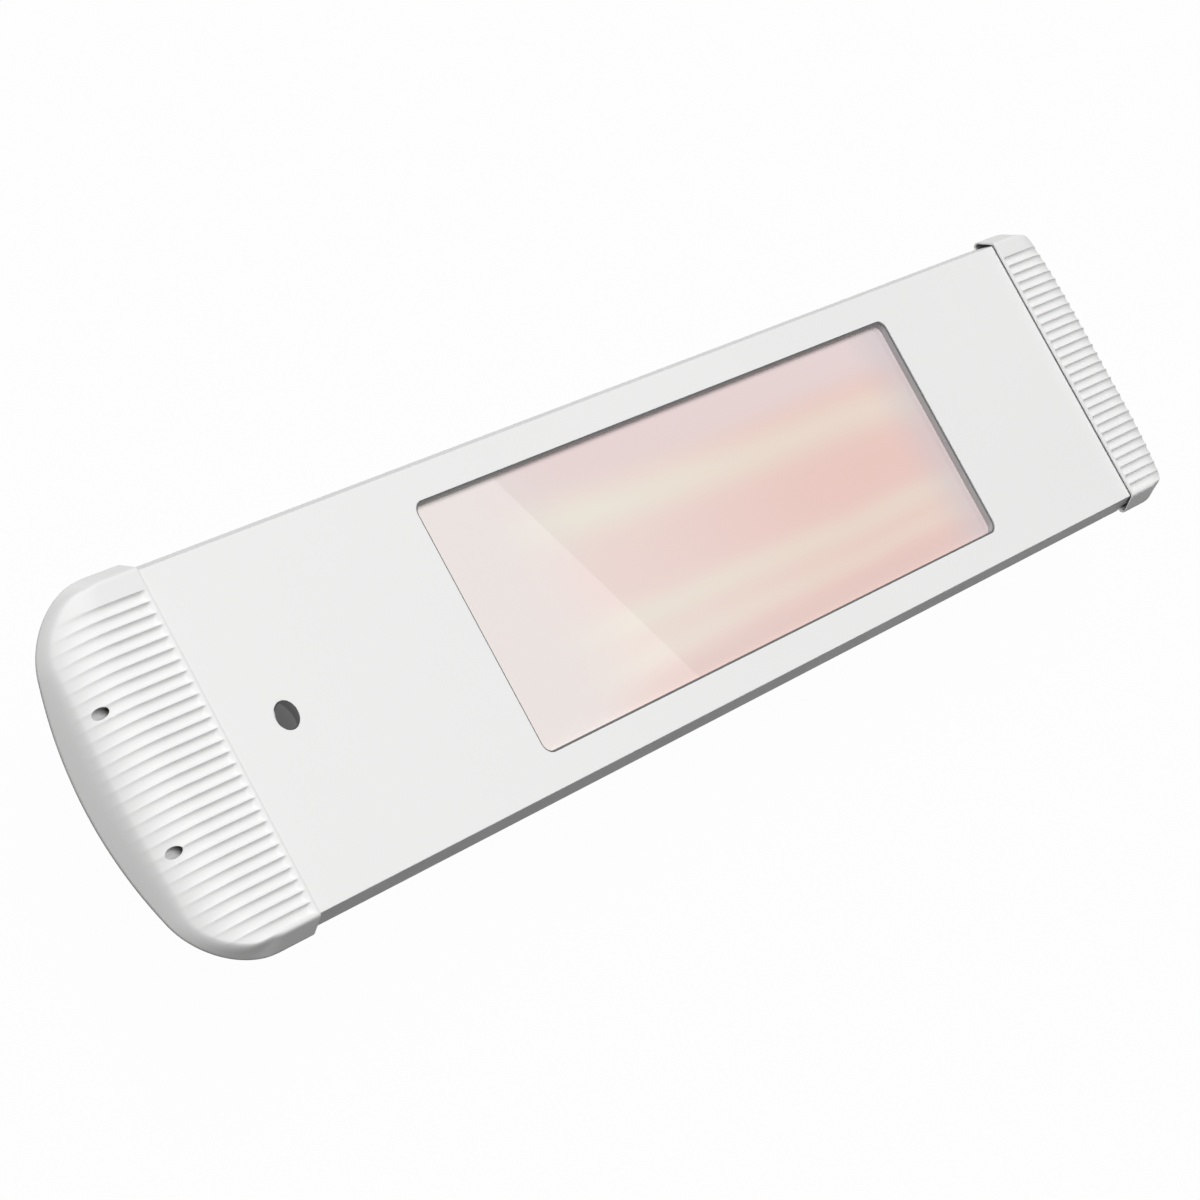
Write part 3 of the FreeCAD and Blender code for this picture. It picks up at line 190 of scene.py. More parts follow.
# Studio, in metres, watts and degrees.
WHITE = (1.0, 1.0, 1.0, 1.0)
ROOM_LIGHT = 0.15
FLOOR_REACH = 6.0
FLOOR_TONE = (0.12, 0.12, 0.12, 1.0)
FLOOR_ROUGHNESS = 0.9
PAPER_LIGHT = 1.04
PAPER_SHARE = 0.94
KEY_PLACE = (-2.7, 3.05, 7.9)
KEY_TARGET = (0.0, 0.0, 0.1)
KEY_SIZE = (6.5, 4.05)
KEY_POWER = 825.0
GLARE_PLACE = (0.561, -0.263, 1.5)
GLARE_TURN = 26.0
GLARE_SIZE = (2.0, 2.0)
GLARE_POWER = 12.5


def soft_min(a, b, width):
    """The lower of two heights, with the corner between them rounded over a band of this width."""
    return np.minimum(a, b) - np.maximum(width - np.abs(a - b), 0) ** 2 / (4 * width)


def eased(value, span):
    """Rises from 0 to 1 as the value goes through the span, with no corner at either end."""
    share = np.clip((value - span[0]) / (span[1] - span[0]), 0, 1)
    return share ** 2 * (3 - 2 * share)


def corner_centre():
    """Where the hood's plan corner turns about, in u and y, so that it runs into the wide end arc."""
    y = CAP_HALF - CAP_CORNER
    return CAP_REACH - CAP_END_ARC + np.sqrt((CAP_END_ARC - CAP_CORNER) ** 2 - y ** 2), y


def hood_plan(y, inset):
    """How far the hood reaches at each y: a wide arc across the end that runs into round corners."""
    across = np.abs(y)
    centre_u, centre_y = corner_centre()
    arc, round_corner = CAP_END_ARC - inset, CAP_CORNER - inset
    join = arc * centre_y / (CAP_END_ARC - CAP_CORNER)
    end = CAP_REACH - CAP_END_ARC + np.sqrt(arc ** 2 - np.minimum(across, join) ** 2)
    beside = np.maximum(across - centre_y, 0)
    corner = centre_u + np.sqrt(np.maximum(round_corner ** 2 - beside ** 2, 0))
    return np.where(across < join, end, corner)


def outline_gap(u, y):
    """Distance in plan from each point to the hood's outline, and the way out to it along u and y."""
    across = np.abs(y)
    centre_u, centre_y = corner_centre()
    along, beside = u - centre_u, across - centre_y
    from_corner = np.maximum(np.hypot(along, beside), TINY)
    arc_u = u - CAP_REACH + CAP_END_ARC
    from_arc = np.hypot(arc_u, across)
    in_corner = (along > 0) & (beside * (centre_u - CAP_REACH + CAP_END_ARC) > along * centre_y)
    in_end = ~in_corner & (along > 0)
    places = [in_corner, in_end]
    gap = np.select(places, [CAP_CORNER - from_corner, CAP_END_ARC - from_arc], CAP_HALF - across)
    out_u = np.select(places, [along / from_corner, arc_u / from_arc], 0)
    out_y = np.select(places, [beside / from_corner, across / from_arc], 1)
    return gap, out_u, out_y * np.sign(y)


def wall_draft(out_u):
    """How steep the wall is, as rise over run: it leans back more on the sides than across the end."""
    return SIDE_DRAFT + (END_DRAFT - SIDE_DRAFT) * eased(out_u, END_FACING)


def wall_lean(out_u):
    """The wall's angle from upright."""
    return np.arctan(1 / wall_draft(out_u))


def flat_length(y):
    """How far the hood's top runs level before its nose: shorter towards the sides by a fourth power."""
    return CAP_FLAT - CAP_CROWN * (y / CAP_HALF) ** 4


def nose_way(flat, z):
    """The way along the skin from the mouth at which the round nose has come down to this height."""
    return flat + CAP_NOSE * np.arccos(1 - (CAP_TOP - z) / CAP_NOSE)


def belly_height(u, y):
    """The hood's underside: a shallow arc from rim to rim that hangs lower towards the end."""
    sag = CAP_RIM - CAP_BELLY + END_DROP * eased(u, (0, CAP_REACH))
    radius = (CAP_HALF ** 2 + sag ** 2) / (2 * sag)
    return CAP_RIM - sag + radius - np.sqrt(radius ** 2 - y ** 2)


def hood_point(way, y):
    """Points of the hood's outside, given the way along the skin from the mouth and the place across.

    A flat turns down over a round nose. Each flute is a power curve across its pitch; it sinks in
    behind the plain lip and eases off with the way that is left to the end. A leaning wall stands on
    the outline, with a soft edge above it.
    """
    flat = flat_length(y)
    turn = np.maximum(way - flat, 0) / CAP_NOSE
    u = np.minimum(way, flat) + CAP_NOSE * np.sin(turn)
    height = CAP_TOP - CAP_NOSE * (1 - np.cos(turn)) - LIP_ROUND * np.maximum(1 - way / LIP_RUN, 0) ** 2
    place = (y - RIB_SHIFT) / RIB_PITCH + RIB_COUNT / 2
    flute = 1 - np.abs(2 * (place - np.floor(place)) - 1) ** RIB_POWER
    fade = np.clip((hood_plan(y, 0) - u - RIB_STOP) / RIB_FADE, 0, 1)
    depth = RIB_DEPTH * flute * fade * (2 - fade) * eased(way, RIB_RISE)
    depth = depth * ((place >= 0) & (place <= RIB_COUNT))
    gap, out_u, out_y = outline_gap(u, y)
    lean = wall_lean(out_u)
    foot = belly_height(u, np.clip(y + (gap - RIM_ROUND) * out_y, -CAP_HALF, CAP_HALF))
    foot = foot + RIM_ROUND * (1 + np.sin(lean))
    way_in = gap - RIM_ROUND * (1 - np.cos(lean))
    wall = foot + wall_draft(out_u) * way_in
    edge = SIDE_EDGE + (END_EDGE - SIDE_EDGE) * eased(out_u, END_FACING)
    z = soft_min(height - depth * np.cos(turn), wall, edge)
    return np.stack([u - depth * np.sin(turn), y, z], axis=-1)


def under_side(edge):
    """From the lower edge of the hood's wall round the rim and under the belly to its middle line.

    The rim is an arc from the wall's lean to straight down, squeezed to the height that is left above
    the belly; the belly runs straight in from it at each point's own u.
    """
    _, out_u, out_y = outline_gap(edge[:, 0], edge[:, 1])
    lean = wall_lean(out_u)
    angle = np.linspace(lean, -np.pi / 2, RIM_STEPS)
    shift = RIM_ROUND * (np.cos(angle) - np.cos(lean))
    u, y = edge[:, 0] + out_u * shift, edge[:, 1] + out_y * shift
    low = belly_height(u[-1], y[-1])
    z = low + (edge[:, 2] - low) * (1 + np.sin(angle)) / (1 + np.sin(lean))
    share = np.linspace(1, 0, BELLY_STEPS)[1:, None]
    belly_y = y[-1] * share
    belly_u = np.repeat(u[-1:], share.size, axis=0)
    belly = np.stack([belly_u, belly_y, belly_height(belly_u, belly_y)], axis=-1)
    return np.concatenate([np.stack([u, y, z], axis=-1), belly])


def hood_grid():
    """Ways and places of the hood's grid: fixed rows at the mouth, then rows that close up to the outline."""
    half = RIB_COUNT * RIB_PITCH / 2
    side_inset = RIM_ROUND * (1 - np.cos(wall_lean(0)))
    ribs = RIB_SHIFT + np.linspace(-half, half, RIB_COUNT * COLUMNS_PER_RIB + 1)
    share = np.linspace(0, 1, FLANK_COLUMNS)[1:] ** FLANK_CLOSING
    near = ribs[0] + (side_inset - CAP_HALF - ribs[0]) * share
    far = ribs[-1] + (CAP_HALF - side_inset - ribs[-1]) * share
    y = np.concatenate([near[::-1], ribs, far])
    _, out_u, _ = outline_gap(hood_plan(y, side_inset), y)
    inset = RIM_ROUND * (1 - np.cos(wall_lean(out_u)))
    reach, flat = hood_plan(y, inset), flat_length(y)
    length = np.minimum(reach, flat) + CAP_NOSE * np.arcsin(np.clip((reach - flat) / CAP_NOSE, 0, 1))
    lip = np.concatenate([LIP_WAYS, np.linspace(*RIB_RISE, RISE_ROWS)])
    share = 1 - (1 - np.linspace(0, 1, SKIN_ROWS)[1:]) ** SKIN_CLOSING
    rest = lip[-1] + share[:, None] * (length[None, :] - lip[-1])
    way = np.vstack([np.repeat(lip[:, None], y.size, axis=1), rest])
    return way, np.repeat(y[None, :], way.shape[0], axis=0)


def block_edge(top, low, left, right):
    """Rows and columns of the grid's points once round a block, with the first point again at the end."""
    wide, tall = right - left, low - top
    rows = [np.full(wide, top), np.arange(top, low), np.full(wide, low), np.arange(low, top - 1, -1)]
    columns = [np.arange(left, right), np.full(tall, right)]
    columns += [np.arange(right, left, -1), np.full(tall + 1, left)]
    return np.concatenate(rows), np.concatenate(columns)


def screw_hole(way, y, side):
    """A patch that blends from a block of the grid to a round axial hole, goes down it and closes its floor.

    Returns the patch's points, ring by ring, and the block's first and last row and column.
    """
    flat = flat_length(side)
    middle = nose_way(flat, SCREW_DROP)
    column = np.argmin(np.abs(y[0] - side))
    rows = np.flatnonzero(np.abs(way[:, column] - middle) < HOLE_PATCH[0])
    columns = np.flatnonzero(np.abs(y[0] - side) < HOLE_PATCH[1])
    block = rows[0], rows[-1], columns[0], columns[-1]
    edge = block_edge(*block)
    edge_way, edge_y = way[edge], y[edge]
    angle = np.arctan2((edge_way - middle) / HOLE_PATCH[0], (edge_y - side) / HOLE_PATCH[1])
    rim_y, rim_z = side + SCREW_BORE * np.cos(angle), SCREW_DROP - SCREW_BORE * np.sin(angle)
    share = np.linspace(0, 1, HOLE_RINGS)[:, None]
    skin_way = edge_way + (nose_way(flat, rim_z) - edge_way) * share
    skin = hood_point(skin_way, edge_y + (rim_y - edge_y) * share)
    axis = np.array([0.0, side, SCREW_DROP])
    start = (skin[-1] - axis) * [1, BORE_NARROWS, BORE_NARROWS] + axis - [BORE_EDGE, 0, 0]
    wall = np.where([True, False, False], SCREW_SEAT, start)
    floor = np.repeat([[SCREW_SEAT, side, SCREW_DROP]], len(start), axis=0)
    return np.concatenate([skin, np.stack([start, wall, floor])]), block


def lip_rows(edge):
    """The mouth's thickness and a step into the hollow behind it, from one edge of the skin."""
    z = CAP_RIM + (edge[:, 2] - CAP_RIM) * LIP_SCALE[1]
    inner = np.stack([np.zeros(len(edge)), edge[:, 1] * LIP_SCALE[0], z], axis=-1)
    return np.stack([inner + [LIP_DEEP, 0, 0], inner])


def grid_quads(rows, columns, start, holes=()):
    """Corner indices of a grid's quads, without those in the given blocks of rows and columns."""
    index = start + np.arange(rows * columns).reshape(rows, columns)
    quads = np.stack([index[:-1, :-1], index[:-1, 1:], index[1:, 1:], index[1:, :-1]], axis=-1)
    keep = np.ones(quads.shape[:2], dtype=bool)
    for top, low, left, right in holes:
        keep[top:low, left:right] = False
    return quads[keep]


def ribbed_hood(name, end):
    """One end cap as a skin: a fluted top with two screw holes, its rim and belly, and a lip at the mouth."""
    way, y = hood_grid()
    top = hood_point(way, y)
    lip = lip_rows(top[0])
    under = under_side(np.concatenate([top[:, 0], top[-1, 1:-1], top[::-1, -1]]))
    first, last = [np.swapaxes(lip_rows(under[:, side]), 0, 1) for side in (0, -1)]
    patches, blocks = zip(*[screw_hole(way, y, side) for side in (-SCREW_SIDE, SCREW_SIDE)])
    cuts = np.array(blocks) + [len(lip), len(lip), 0, 0]
    sheets = [np.concatenate([lip, top]), np.concatenate([first, under, last[:, ::-1]], axis=1), *patches]
    starts = np.cumsum([0] + [sheet[..., 0].size for sheet in sheets])
    quads = [grid_quads(*sheet.shape[:2], start, cut)
             for sheet, start, cut in zip(sheets, starts, (cuts, (), (), ()))]
    quads = np.concatenate(quads)
    # Painted shade down the screw bores: 0 on the skin, half at the ring just inside the rim, full deeper in.
    down = np.clip((np.arange(len(patches[0])) - HOLE_RINGS + 1) * BORE_SHADE, 0, 1)
    shade = [np.zeros(starts[2])] + [np.repeat(down, patch.shape[1]) for patch in patches]
    points = np.concatenate([sheet.reshape(-1, 3) for sheet in sheets])
    points = points * [end, 1, 1] + [end * MOUTH, 0, FACE]
    return surface(name, points * MM, quads[:, ::-1] if end > 0 else quads, np.concatenate(shade))


def window_trim():
    """A thin frame in the window's opening: its profile is carried round a rectangle with round corners.

    Each corner is an arc whose radius is the opening's corner less the profile's distance from the edge.
    """
    inset, drop, wall = TRIM_PROFILE.T
    steps = [TRIM_CORNER_STEPS] * 4 + [1]
    quarters = [np.linspace(start, start + 90, TRIM_CORNER_STEPS) for start in (0, 90, 180, 270)]
    angle = np.radians(np.concatenate(quarters + [[0]]))
    side_x, side_y = np.repeat([1, -1, -1, 1, 1], steps), np.repeat([1, 1, -1, -1, 1], steps)
    radius = WINDOW_CORNER - inset[:, None]
    x = WINDOW_SHIFT + side_x * (WINDOW_SIZE[0] / 2 - WINDOW_CORNER) + radius * np.cos(angle)
    y = side_y * (WINDOW_SIZE[1] / 2 - WINDOW_CORNER) + radius * np.sin(angle)
    z = np.repeat(FACE - drop[:, None], angle.size, axis=1)
    points = np.stack([x, y, z], axis=-1).reshape(-1, 3) * MM
    quads = grid_quads(inset.size, angle.size, 0)
    # The mask is 0 on the dark top edge, painted shadow of a gap, and 1 on the paler inner wall.
    return surface("window_trim", points, quads, np.repeat(wall, angle.size))


def lens_dome():
    """The sensor's lens as rings about its middle: a parabola, a small round at the rim and a short wall."""
    turn = np.linspace(0, 2 * np.pi, LENS_SPOKES)
    share = np.linspace(0, 1, LENS_RINGS)
    rim = LENS_RADIUS + LENS_ROUND
    radius = np.concatenate([LENS_RADIUS * share, [rim, rim, 0]])
    height = np.concatenate([LENS_CROWN * (1 - share ** 2), [-LENS_ROUND, -LENS_DEEP, -LENS_DEEP]]) - LENS_RIM
    x = LENS_PLACE + radius[:, None] * np.cos(turn)
    y = radius[:, None] * np.sin(turn)
    z = np.repeat(FACE + height[:, None], turn.size, axis=1)
    points = np.stack([x, y, z], axis=-1).reshape(-1, 3) * MM
    quads = grid_quads(radius.size, turn.size, 0)[:, ::-1]
    return surface("lens_dome", points, quads, np.zeros(len(points)))


def surface(name, points, quads, shade):
    """A mesh from points and the corners of its quads, with a shade from 0 to 1 at each point.

    Doubled points are merged, and a quad that this leaves with three corners becomes a triangle.
    """
    rounded = np.round(points, MERGE_DECIMALS)
    _, first, same = np.unique(rounded, axis=0, return_index=True, return_inverse=True)
    quads = same.reshape(-1)[quads]
    repeat = quads == np.roll(quads, 1, axis=1)
    three = repeat.sum(axis=1) == 1
    triangles = quads[three][~repeat[three]].reshape(-1, 3)
    mesh = bpy.data.meshes.new(name)
    mesh.from_pydata(points[first], [], quads[~repeat.any(axis=1)].tolist() + triangles.tolist())
    tones = mesh.attributes.new("shade", "FLOAT", "POINT")
    tones.data.foreach_set("value", shade[first].astype(np.float32))
    mesh.validate()
    mesh.shade_smooth()
    mesh.set_sharp_from_angle(angle=np.radians(SHARP_ANGLE))
    piece = bpy.data.objects.new(name, mesh)
    bpy.context.scene.collection.objects.link(piece)
    return piece


class Graph:
    """A node tree with short calls to add and join its nodes."""

    def __init__(self, tree):
        self.tree = tree

    def feed(self, socket, given):
        """Joins a socket to another node's output, or sets its own value."""
        if isinstance(given, bpy.types.NodeSocket):
            self.tree.links.new(given, socket)
        else:
            socket.default_value = given

    def add(self, kind, settings=None, **inputs):
        """A new node; each input goes by its label, or by i and its number."""
        node = self.tree.nodes.new(kind)
        for name, setting in (settings or {}).items():
            setattr(node, name, setting)
        for name, given in inputs.items():
            numbered = name[0] == "i" and name[1:].isdigit()
            self.feed(node.inputs[int(name[1:]) if numbered else name.replace("_", " ")], given)
        return node

    def math(self, operation, *values):
        """The result of a sum on values or outputs."""
        sums = {f"i{index}": value for index, value in enumerate(values)}
        return self.add("ShaderNodeMath", {"operation": operation}, **sums).outputs[0]

    def blend(self, factor, a, b):
        """A colour that goes from a to b with the factor."""
        a, b = [(*tone, 1.0) if isinstance(tone, tuple) else tone for tone in (a, b)]
        return self.add("ShaderNodeMix", {"data_type": "RGBA"}, i0=factor, i6=a, i7=b).outputs[2]

    def ramp(self, value, span, start=0.0, stop=1.0):
        """Goes softly from start to stop as the value goes through the span."""
        node = self.add("ShaderNodeMapRange", {"interpolation_type": "SMOOTHSTEP"},
                        Value=value, From_Min=span[0], From_Max=span[1], To_Min=start, To_Max=stop)
        return node.outputs[0]


def new_group(name, inputs, outputs):
    """An empty shader group with named sockets; returns it with its graph, entry and exit."""
    tree = bpy.data.node_groups.new(name, "ShaderNodeTree")
    for label, kind, default in inputs:
        socket = tree.interface.new_socket(label, in_out="INPUT", socket_type=kind)
        if default is not None:
            socket.default_value = default
    for label, kind in outputs:
        tree.interface.new_socket(label, in_out="OUTPUT", socket_type=kind)
    graph = Graph(tree)
    return tree, graph, graph.add("NodeGroupInput").outputs, graph.add("NodeGroupOutput").inputs


def coat_group():
    """Sprayed or moulded skin: a fine pebble, a broad drift of tone and a faint cloud of gloss."""
    tree, graph, given, out = new_group(
        "skin_texture",
        [("Vector", "NodeSocketVector", None), ("Grain", "NodeSocketFloat", 900.0),
         ("Drift", "NodeSocketFloat", 7.0)],
        [("Height", "NodeSocketFloat"), ("Tone", "NodeSocketFloat"), ("Gloss", "NodeSocketFloat")])
    place, noise = given["Vector"], "ShaderNodeTexNoise"
    fine = graph.add(noise, Vector=place, Scale=given["Grain"], Detail=2.0, Roughness=0.5)
    broad = graph.add(noise, Vector=place, Scale=given["Drift"], Detail=3.0, Roughness=0.5)
    cloud_scale = graph.math("MULTIPLY", given["Drift"], 5.0)
    cloud = graph.add(noise, Vector=place, Scale=cloud_scale, Detail=4.0, Roughness=0.6)
    graph.feed(out["Height"], fine.outputs["Fac"])
    graph.feed(out["Tone"], broad.outputs["Fac"])
    graph.feed(out["Gloss"], cloud.outputs["Fac"])
    return tree


def brushed_group():
    """Rolled or turned metal: fine lines drawn along X, with a little scatter in their gloss."""
    tree, graph, given, out = new_group(
        "drawn_lines", [("Vector", "NodeSocketVector", None), ("Fineness", "NodeSocketFloat", 2500.0)],
        [("Height", "NodeSocketFloat"), ("Gloss", "NodeSocketFloat")])
    stretch = graph.add("ShaderNodeVectorMath", {"operation": "MULTIPLY"},
                        i0=given["Vector"], i1=(0.03, 1.0, 1.0))
    lines = graph.add("ShaderNodeTexNoise", Vector=stretch.outputs[0], Scale=given["Fineness"], Detail=2.0)
    cloud = graph.add("ShaderNodeTexNoise", Vector=given["Vector"], Scale=60.0, Detail=3.0)
    graph.feed(out["Height"], lines.outputs["Fac"])
    graph.feed(out["Gloss"], cloud.outputs["Fac"])
    return tree


def glow_group():
    """Colour of the pane, painted lamp glow: pale lamp streaks that run along it over a rose field, with
    cooler ends.
    """
    tree, graph, given, out = new_group("lamp_glow", [("Vector", "NodeSocketVector", None)],
                                        [("Color", "NodeSocketColor")])
    place = graph.add("ShaderNodeSeparateXYZ", Vector=given["Vector"]).outputs
    soft = graph.add("ShaderNodeTexNoise", Vector=given["Vector"], Scale=9.0, Detail=2.0, Roughness=0.5)
    sway = graph.math("MULTIPLY", graph.math("SUBTRACT", soft.outputs["Fac"], 0.5), GLOW_SWAY)
    across = graph.math("ADD", place["Y"], sway)
    along = graph.ramp(place["X"], GLOW_ALONG)
    lit = graph.ramp(place["X"], GLOW_LIT)

    def streak(height, lean, width, strength):
        """A bell curve across a slightly leaning line."""
        axis = graph.math("MULTIPLY_ADD", place["X"], lean, height)
        off = graph.math("DIVIDE", graph.math("SUBTRACT", across, axis), width)
        fall = graph.math("MULTIPLY", graph.math("MULTIPLY", off, off), -1.0)
        return graph.math("MULTIPLY", graph.math("POWER", BELL_BASE, fall), strength)

    field = graph.blend(along, *FIELD_TONES)
    field = graph.blend(graph.ramp(place["Y"], GLOW_FAR), field, FAR_TONE)
    glow = streak(*STREAKS[0])
    for line in STREAKS[1:]:
        glow = graph.math("ADD", glow, streak(*line))
    glow = graph.math("MINIMUM", glow, 1.0)
    tone = graph.blend(glow, field, graph.blend(along, *STREAK_TONES))
    tone = graph.blend(lit, UNLIT_TONE, tone)
    near = graph.ramp(graph.math("MULTIPLY", place["Y"], -1.0), GLOW_NEAR)
    near = graph.math("MULTIPLY", graph.math("MULTIPLY", near, NEAR_SHARE), lit)
    tone = graph.blend(near, tone, NEAR_TONE)
    end = graph.math("MULTIPLY", graph.ramp(place["X"], GLOW_END), END_SHARE)
    graph.feed(out["Color"], graph.blend(end, tone, END_TONE))
    return tree


SKIN = coat_group()
LINES = brushed_group()
GLOW = glow_group()


def begin(name):
    """A new material: itself, its graph, its shader's inputs and its object coordinates."""
    material = bpy.data.materials.new(name)
    material.use_nodes = True
    graph = Graph(material.node_tree)
    shader = material.node_tree.nodes["Principled BSDF"].inputs
    return material, graph, shader, graph.add("ShaderNodeTexCoord").outputs["Object"]


def relief(graph, shader, height, strength, distance, soft_edge):
    """Gives the shader soft edges and a fine relief."""
    edge = graph.add("ShaderNodeBevel", {"samples": EDGE_SAMPLES}, Radius=soft_edge)
    bump = graph.add("ShaderNodeBump", Strength=strength, Distance=distance, Height=height,
                     Normal=edge.outputs[0])
    graph.feed(shader["Normal"], bump.outputs[0])


def coated(name, colour, roughness, grain=900.0, bump=0.04, soft_edge=0.0006, specular=0.4, vary=0.02,
           shaded=None):
    """A painted or moulded surface with a fine pebble, soft edges and a slow drift of tone and gloss.

    Where a piece has a shade mask at its points, the colour goes over to the one given as shaded: painted
    shade down the hood's screw bores, the paler inner wall on the trim.
    """
    material, graph, shader, place = begin(name)
    skin = graph.add("ShaderNodeGroup", {"node_tree": SKIN}, Vector=place, Grain=grain).outputs
    dark = tuple(part * (1 - vary) for part in colour)
    light = tuple(min(part * (1 + vary), 1.0) for part in colour)
    tone = graph.blend(skin["Tone"], dark, light)
    if shaded:
        shade = graph.add("ShaderNodeAttribute", {"attribute_name": "shade"})
        tone = graph.blend(shade.outputs["Fac"], tone, shaded)
    graph.feed(shader["Base Color"], tone)
    rough = graph.ramp(skin["Gloss"], COAT_CLOUD, roughness - COAT_SPREAD, roughness + COAT_SPREAD)
    graph.feed(shader["Roughness"], rough)
    graph.feed(shader["Specular IOR Level"], specular)
    relief(graph, shader, skin["Height"], bump, PEBBLE_HEIGHT, soft_edge)
    return material


def bare_metal(name, colour, roughness, fineness=2500.0, bump=0.05):
    """Uncoated metal with drawn lines and a scatter of gloss."""
    material, graph, shader, place = begin(name)
    lines = graph.add("ShaderNodeGroup", {"node_tree": LINES}, Vector=place, Fineness=fineness).outputs
    tone = graph.blend(lines["Gloss"], tuple(part * METAL_DARK for part in colour), colour)
    graph.feed(shader["Base Color"], tone)
    rough = graph.ramp(lines["Gloss"], METAL_CLOUD, *[roughness + spread for spread in METAL_SPREAD])
    graph.feed(shader["Roughness"], rough)
    graph.feed(shader["Metallic"], 1.0)
    relief(graph, shader, lines["Height"], bump, LINE_HEIGHT, METAL_EDGE)
    return material


def milky_pane():
    """The heat-proof pane: glossy over a milky body whose colour and faint emission are painted glow of the
    lamps behind it.
    """
    material, graph, shader, place = begin("milky_pane")
    glow = graph.add("ShaderNodeGroup", {"node_tree": GLOW}, Vector=place).outputs["Color"]
    graph.feed(shader["Base Color"], glow)
    # Painted glow: the pane gives off a little light of its own, though it is no lamp.
    graph.feed(shader["Emission Color"], glow)
    graph.feed(shader["Emission Strength"], 0.12)
    graph.feed(shader["Roughness"], 0.008)
    graph.feed(shader["IOR"], 1.52)
    return material


def clear_glass(name, colour, roughness):
    """Clear quartz with a faint haze."""
    material, graph, shader, place = begin(name)
    haze = graph.add("ShaderNodeTexNoise", Vector=place, Scale=80.0, Detail=3.0)
    rough = graph.ramp(haze.outputs["Fac"], HAZE_CLOUD, roughness, roughness + HAZE_SPREAD)
    graph.feed(shader["Roughness"], rough)
    graph.feed(shader["Base Color"], (*colour, 1.0))
    graph.feed(shader["Transmission Weight"], 0.9)
    graph.feed(shader["IOR"], 1.46)
    return material


def hot_wire():
    """The filament: oxide-dark wire that glows orange along its length."""
    material, graph, shader, place = begin("hot_wire")
    patch = graph.add("ShaderNodeTexNoise", Vector=place, Scale=120.0, Detail=2.0)
    tone = graph.blend(patch.outputs["Fac"], (0.9, 0.30, 0.08), (1.0, 0.55, 0.20))
    graph.feed(shader["Emission Color"], tone)
    graph.feed(shader["Base Color"], tone)
    graph.feed(shader["Emission Strength"], 2.0)
    graph.feed(shader["Roughness"], 0.5)
    return material


FINISHES = {
    "white_aluminium": coated("white_fascia", (0.83, 0.83, 0.825), 0.42, grain=1100.0, bump=0.03,
                              specular=0.02),
    # The hood's shaded colour is painted shade down its screw bores.
    "white_plastic": coated("white_hood", (0.80, 0.80, 0.795), 0.46, grain=1500.0, bump=0.03,
                            soft_edge=0.0004, specular=0.04, shaded=(0.14, 0.14, 0.14)),
    "white_steel": coated("white_housing", (0.77, 0.77, 0.765), 0.48, grain=700.0, bump=0.08, specular=0.2),
    "bracket_steel": coated("white_bracket", (0.74, 0.74, 0.735), 0.50, grain=600.0, bump=0.10, specular=0.2),
    "zinc_steel": bare_metal("zinc_fastener", (0.66, 0.67, 0.69), 0.34),
    "plain_steel": bare_metal("plain_sheet", (0.58, 0.58, 0.59), 0.40),
    "milky_glass": milky_pane(),
    "black_rubber": coated("dark_seal", (0.030, 0.030, 0.032), 0.75, grain=500.0, bump=0.15, vary=0.15),
    "polished_aluminium": bare_metal("bright_reflector", (0.88, 0.88, 0.89), 0.14, bump=0.02),
    "quartz": clear_glass("lamp_quartz", (1.0, 0.97, 0.94), 0.04),
    "hot_wire": hot_wire(),
    "white_ceramic": coated("fired_ceramic", (0.80, 0.77, 0.70), 0.70, grain=450.0, bump=0.12, vary=0.05),
    "fibre_board": coated("pressed_fibre", (0.72, 0.68, 0.58), 0.90, grain=300.0, bump=0.35, vary=0.10),
    "dark_lens": coated("dark_lens", (0.018, 0.018, 0.019), 0.10, grain=300.0, bump=0.01, soft_edge=0.0002,
                        specular=0.6, vary=0.1),
    "black_plastic": coated("black_moulding", (0.028, 0.028, 0.030), 0.50, grain=1200.0, bump=0.08, vary=0.1),
    "grey_plastic": coated("grey_moulding", (0.36, 0.37, 0.38), 0.52, grain=1200.0, bump=0.08, vary=0.05),
    "circuit_board": coated("green_mask", (0.025, 0.13, 0.055), 0.35, grain=800.0, bump=0.05, vary=0.15),
    "board_post": bare_metal("turned_brass", (0.72, 0.55, 0.26), 0.30),
    "bare_aluminium": bare_metal("mill_aluminium", (0.72, 0.73, 0.75), 0.36),
}
# The trim's dark colour paints the shadow of a gap along the opening's edge; its shaded colour is the paler
# inner wall.
TRIM = coated("edge_trim", (0.11, 0.11, 0.112), 0.5, grain=900.0, bump=0.05, soft_edge=0.0002, vary=0.1,
              shaded=(0.42, 0.42, 0.42))


def dress(piece, finish):
    """Gives a piece one finish in place of what it has."""
    piece.data.materials.clear()
    piece.data.materials.append(FINISHES[finish])


def build_hoods():
    """Both end caps stand for their solids and ride with the heater."""
    for name, node, end in (("hood_left", "end_cap_left", -1), ("hood_right", "end_cap_right", 1)):
        hood = ribbed_hood(name, end)
        dress(hood, "white_plastic")
        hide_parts(node)
        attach(hood, "heater_head")


def build_lens():
    """The domed lens stands for its solid and rides with the heater."""
    lens = lens_dome()
    dress(lens, "dark_lens")
    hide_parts("sensor_lens")
    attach(lens, "heater_head")


def build_trim():
    """The frame in the window's opening rides with the heater."""
    trim = window_trim()
    trim.data.materials.append(TRIM)
    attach(trim, "heater_head")


def dress_solids():
    """Every solid takes the finish of its slot."""
    for part in frame["record"]["subparts"]:
        dress(frame["nodes"][part["node"]], part["material_slot"])


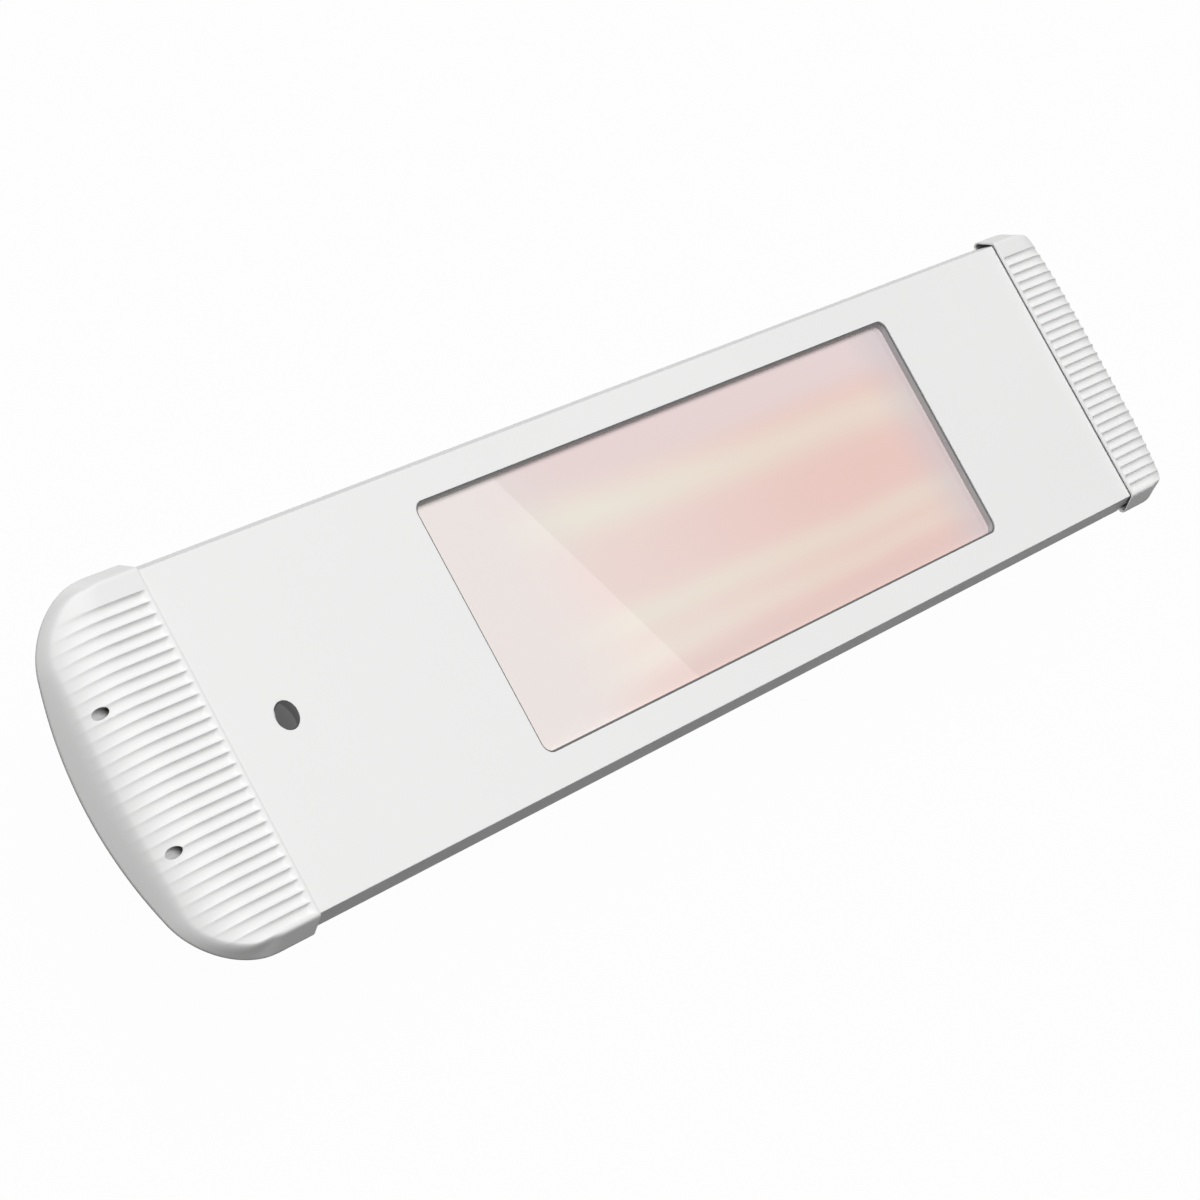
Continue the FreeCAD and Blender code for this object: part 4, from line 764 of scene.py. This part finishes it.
def build_camera():
    """The photograph's view: a long lens above the near end of the heater."""
    lens = bpy.data.cameras.new("camera")
    lens.lens = CAMERA_LENS
    lens.sensor_width = CAMERA_SENSOR
    lens.clip_end = CAMERA_SIGHT
    camera = bpy.data.objects.new("camera", lens)
    turn = Matrix((CAMERA_RIGHT, CAMERA_UP, CAMERA_BACK)).transposed().to_4x4()
    camera.matrix_world = Matrix.Translation(CAMERA_PLACE) @ turn
    bpy.context.scene.collection.objects.link(camera)
    bpy.context.scene.camera = camera


def area_light(name, place, turn, size, power):
    """A rectangular soft light with the given place and turn."""
    lamp = bpy.data.lights.new(name, "AREA")
    lamp.shape = "RECTANGLE"
    lamp.size, lamp.size_y = size
    lamp.energy = power
    light = bpy.data.objects.new(name, lamp)
    light.matrix_world = Matrix.Translation(place) @ turn
    bpy.context.scene.collection.objects.link(light)
    return light


def seen_white(graph, dim, white):
    """A shader that is white to the camera, mirrors and glass, and plain to other light."""
    path = graph.add("ShaderNodeLightPath").outputs
    seen = graph.math("MAXIMUM", path["Is Glossy Ray"], path["Is Transmission Ray"])
    seen = graph.math("MAXIMUM", path["Is Camera Ray"], seen)
    return graph.add("ShaderNodeMixShader", i0=seen, i1=dim, i2=white).outputs[0]


def build_world():
    """A white surround that gives only a little light."""
    world = bpy.data.worlds.new("studio")
    world.use_nodes = True
    bpy.context.scene.world = world
    graph = Graph(world.node_tree)
    nodes = world.node_tree.nodes
    dim = nodes["Background"]
    graph.feed(dim.inputs["Color"], WHITE)
    graph.feed(dim.inputs["Strength"], ROOM_LIGHT)
    white = graph.add("ShaderNodeBackground", Color=WHITE, Strength=1.0)
    sky = seen_white(graph, dim.outputs[0], white.outputs[0])
    graph.feed(nodes["World Output"].inputs["Surface"], sky)


def build_floor():
    """A pale floor that keeps the heater's shadow."""
    reach = FLOOR_REACH
    mesh = bpy.data.meshes.new("floor")
    corners = [(-reach, -reach, 0), (reach, -reach, 0), (reach, reach, 0), (-reach, reach, 0)]
    mesh.from_pydata(corners, [], [(0, 1, 2, 3)])
    floor = bpy.data.objects.new("floor", mesh)
    bpy.context.scene.collection.objects.link(floor)
    material = bpy.data.materials.new("pale_floor")
    material.use_nodes = True
    nodes, graph = material.node_tree.nodes, Graph(material.node_tree)
    plain = nodes["Principled BSDF"]
    graph.feed(plain.inputs["Base Color"], FLOOR_TONE)
    graph.feed(plain.inputs["Roughness"], FLOOR_ROUGHNESS)
    paper = graph.add("ShaderNodeEmission", Color=WHITE, Strength=PAPER_LIGHT).outputs[0]
    pale = graph.add("ShaderNodeMixShader", i0=PAPER_SHARE, i1=plain.outputs[0], i2=paper).outputs[0]
    graph.feed(nodes["Material Output"].inputs["Surface"], seen_white(graph, plain.outputs[0], pale))
    mesh.materials.append(material)


def build_lights():
    """Soft studio light from above the far side, and a sheet of light that only the pane mirrors."""
    facing = (Vector(KEY_PLACE) - Vector(KEY_TARGET)).to_track_quat("Z", "Y").to_matrix().to_4x4()
    area_light("key", KEY_PLACE, facing, KEY_SIZE, KEY_POWER)
    turn = Matrix.Rotation(np.radians(GLARE_TURN), 4, "Z")
    glare = area_light("window_glare", GLARE_PLACE, turn, GLARE_SIZE, GLARE_POWER)
    glare.visible_diffuse = False


build_camera()
build_hoods()
build_lens()
build_trim()
dress_solids()
bpy.context.scene.view_settings.view_transform = "Standard"
build_world()
build_floor()
build_lights()
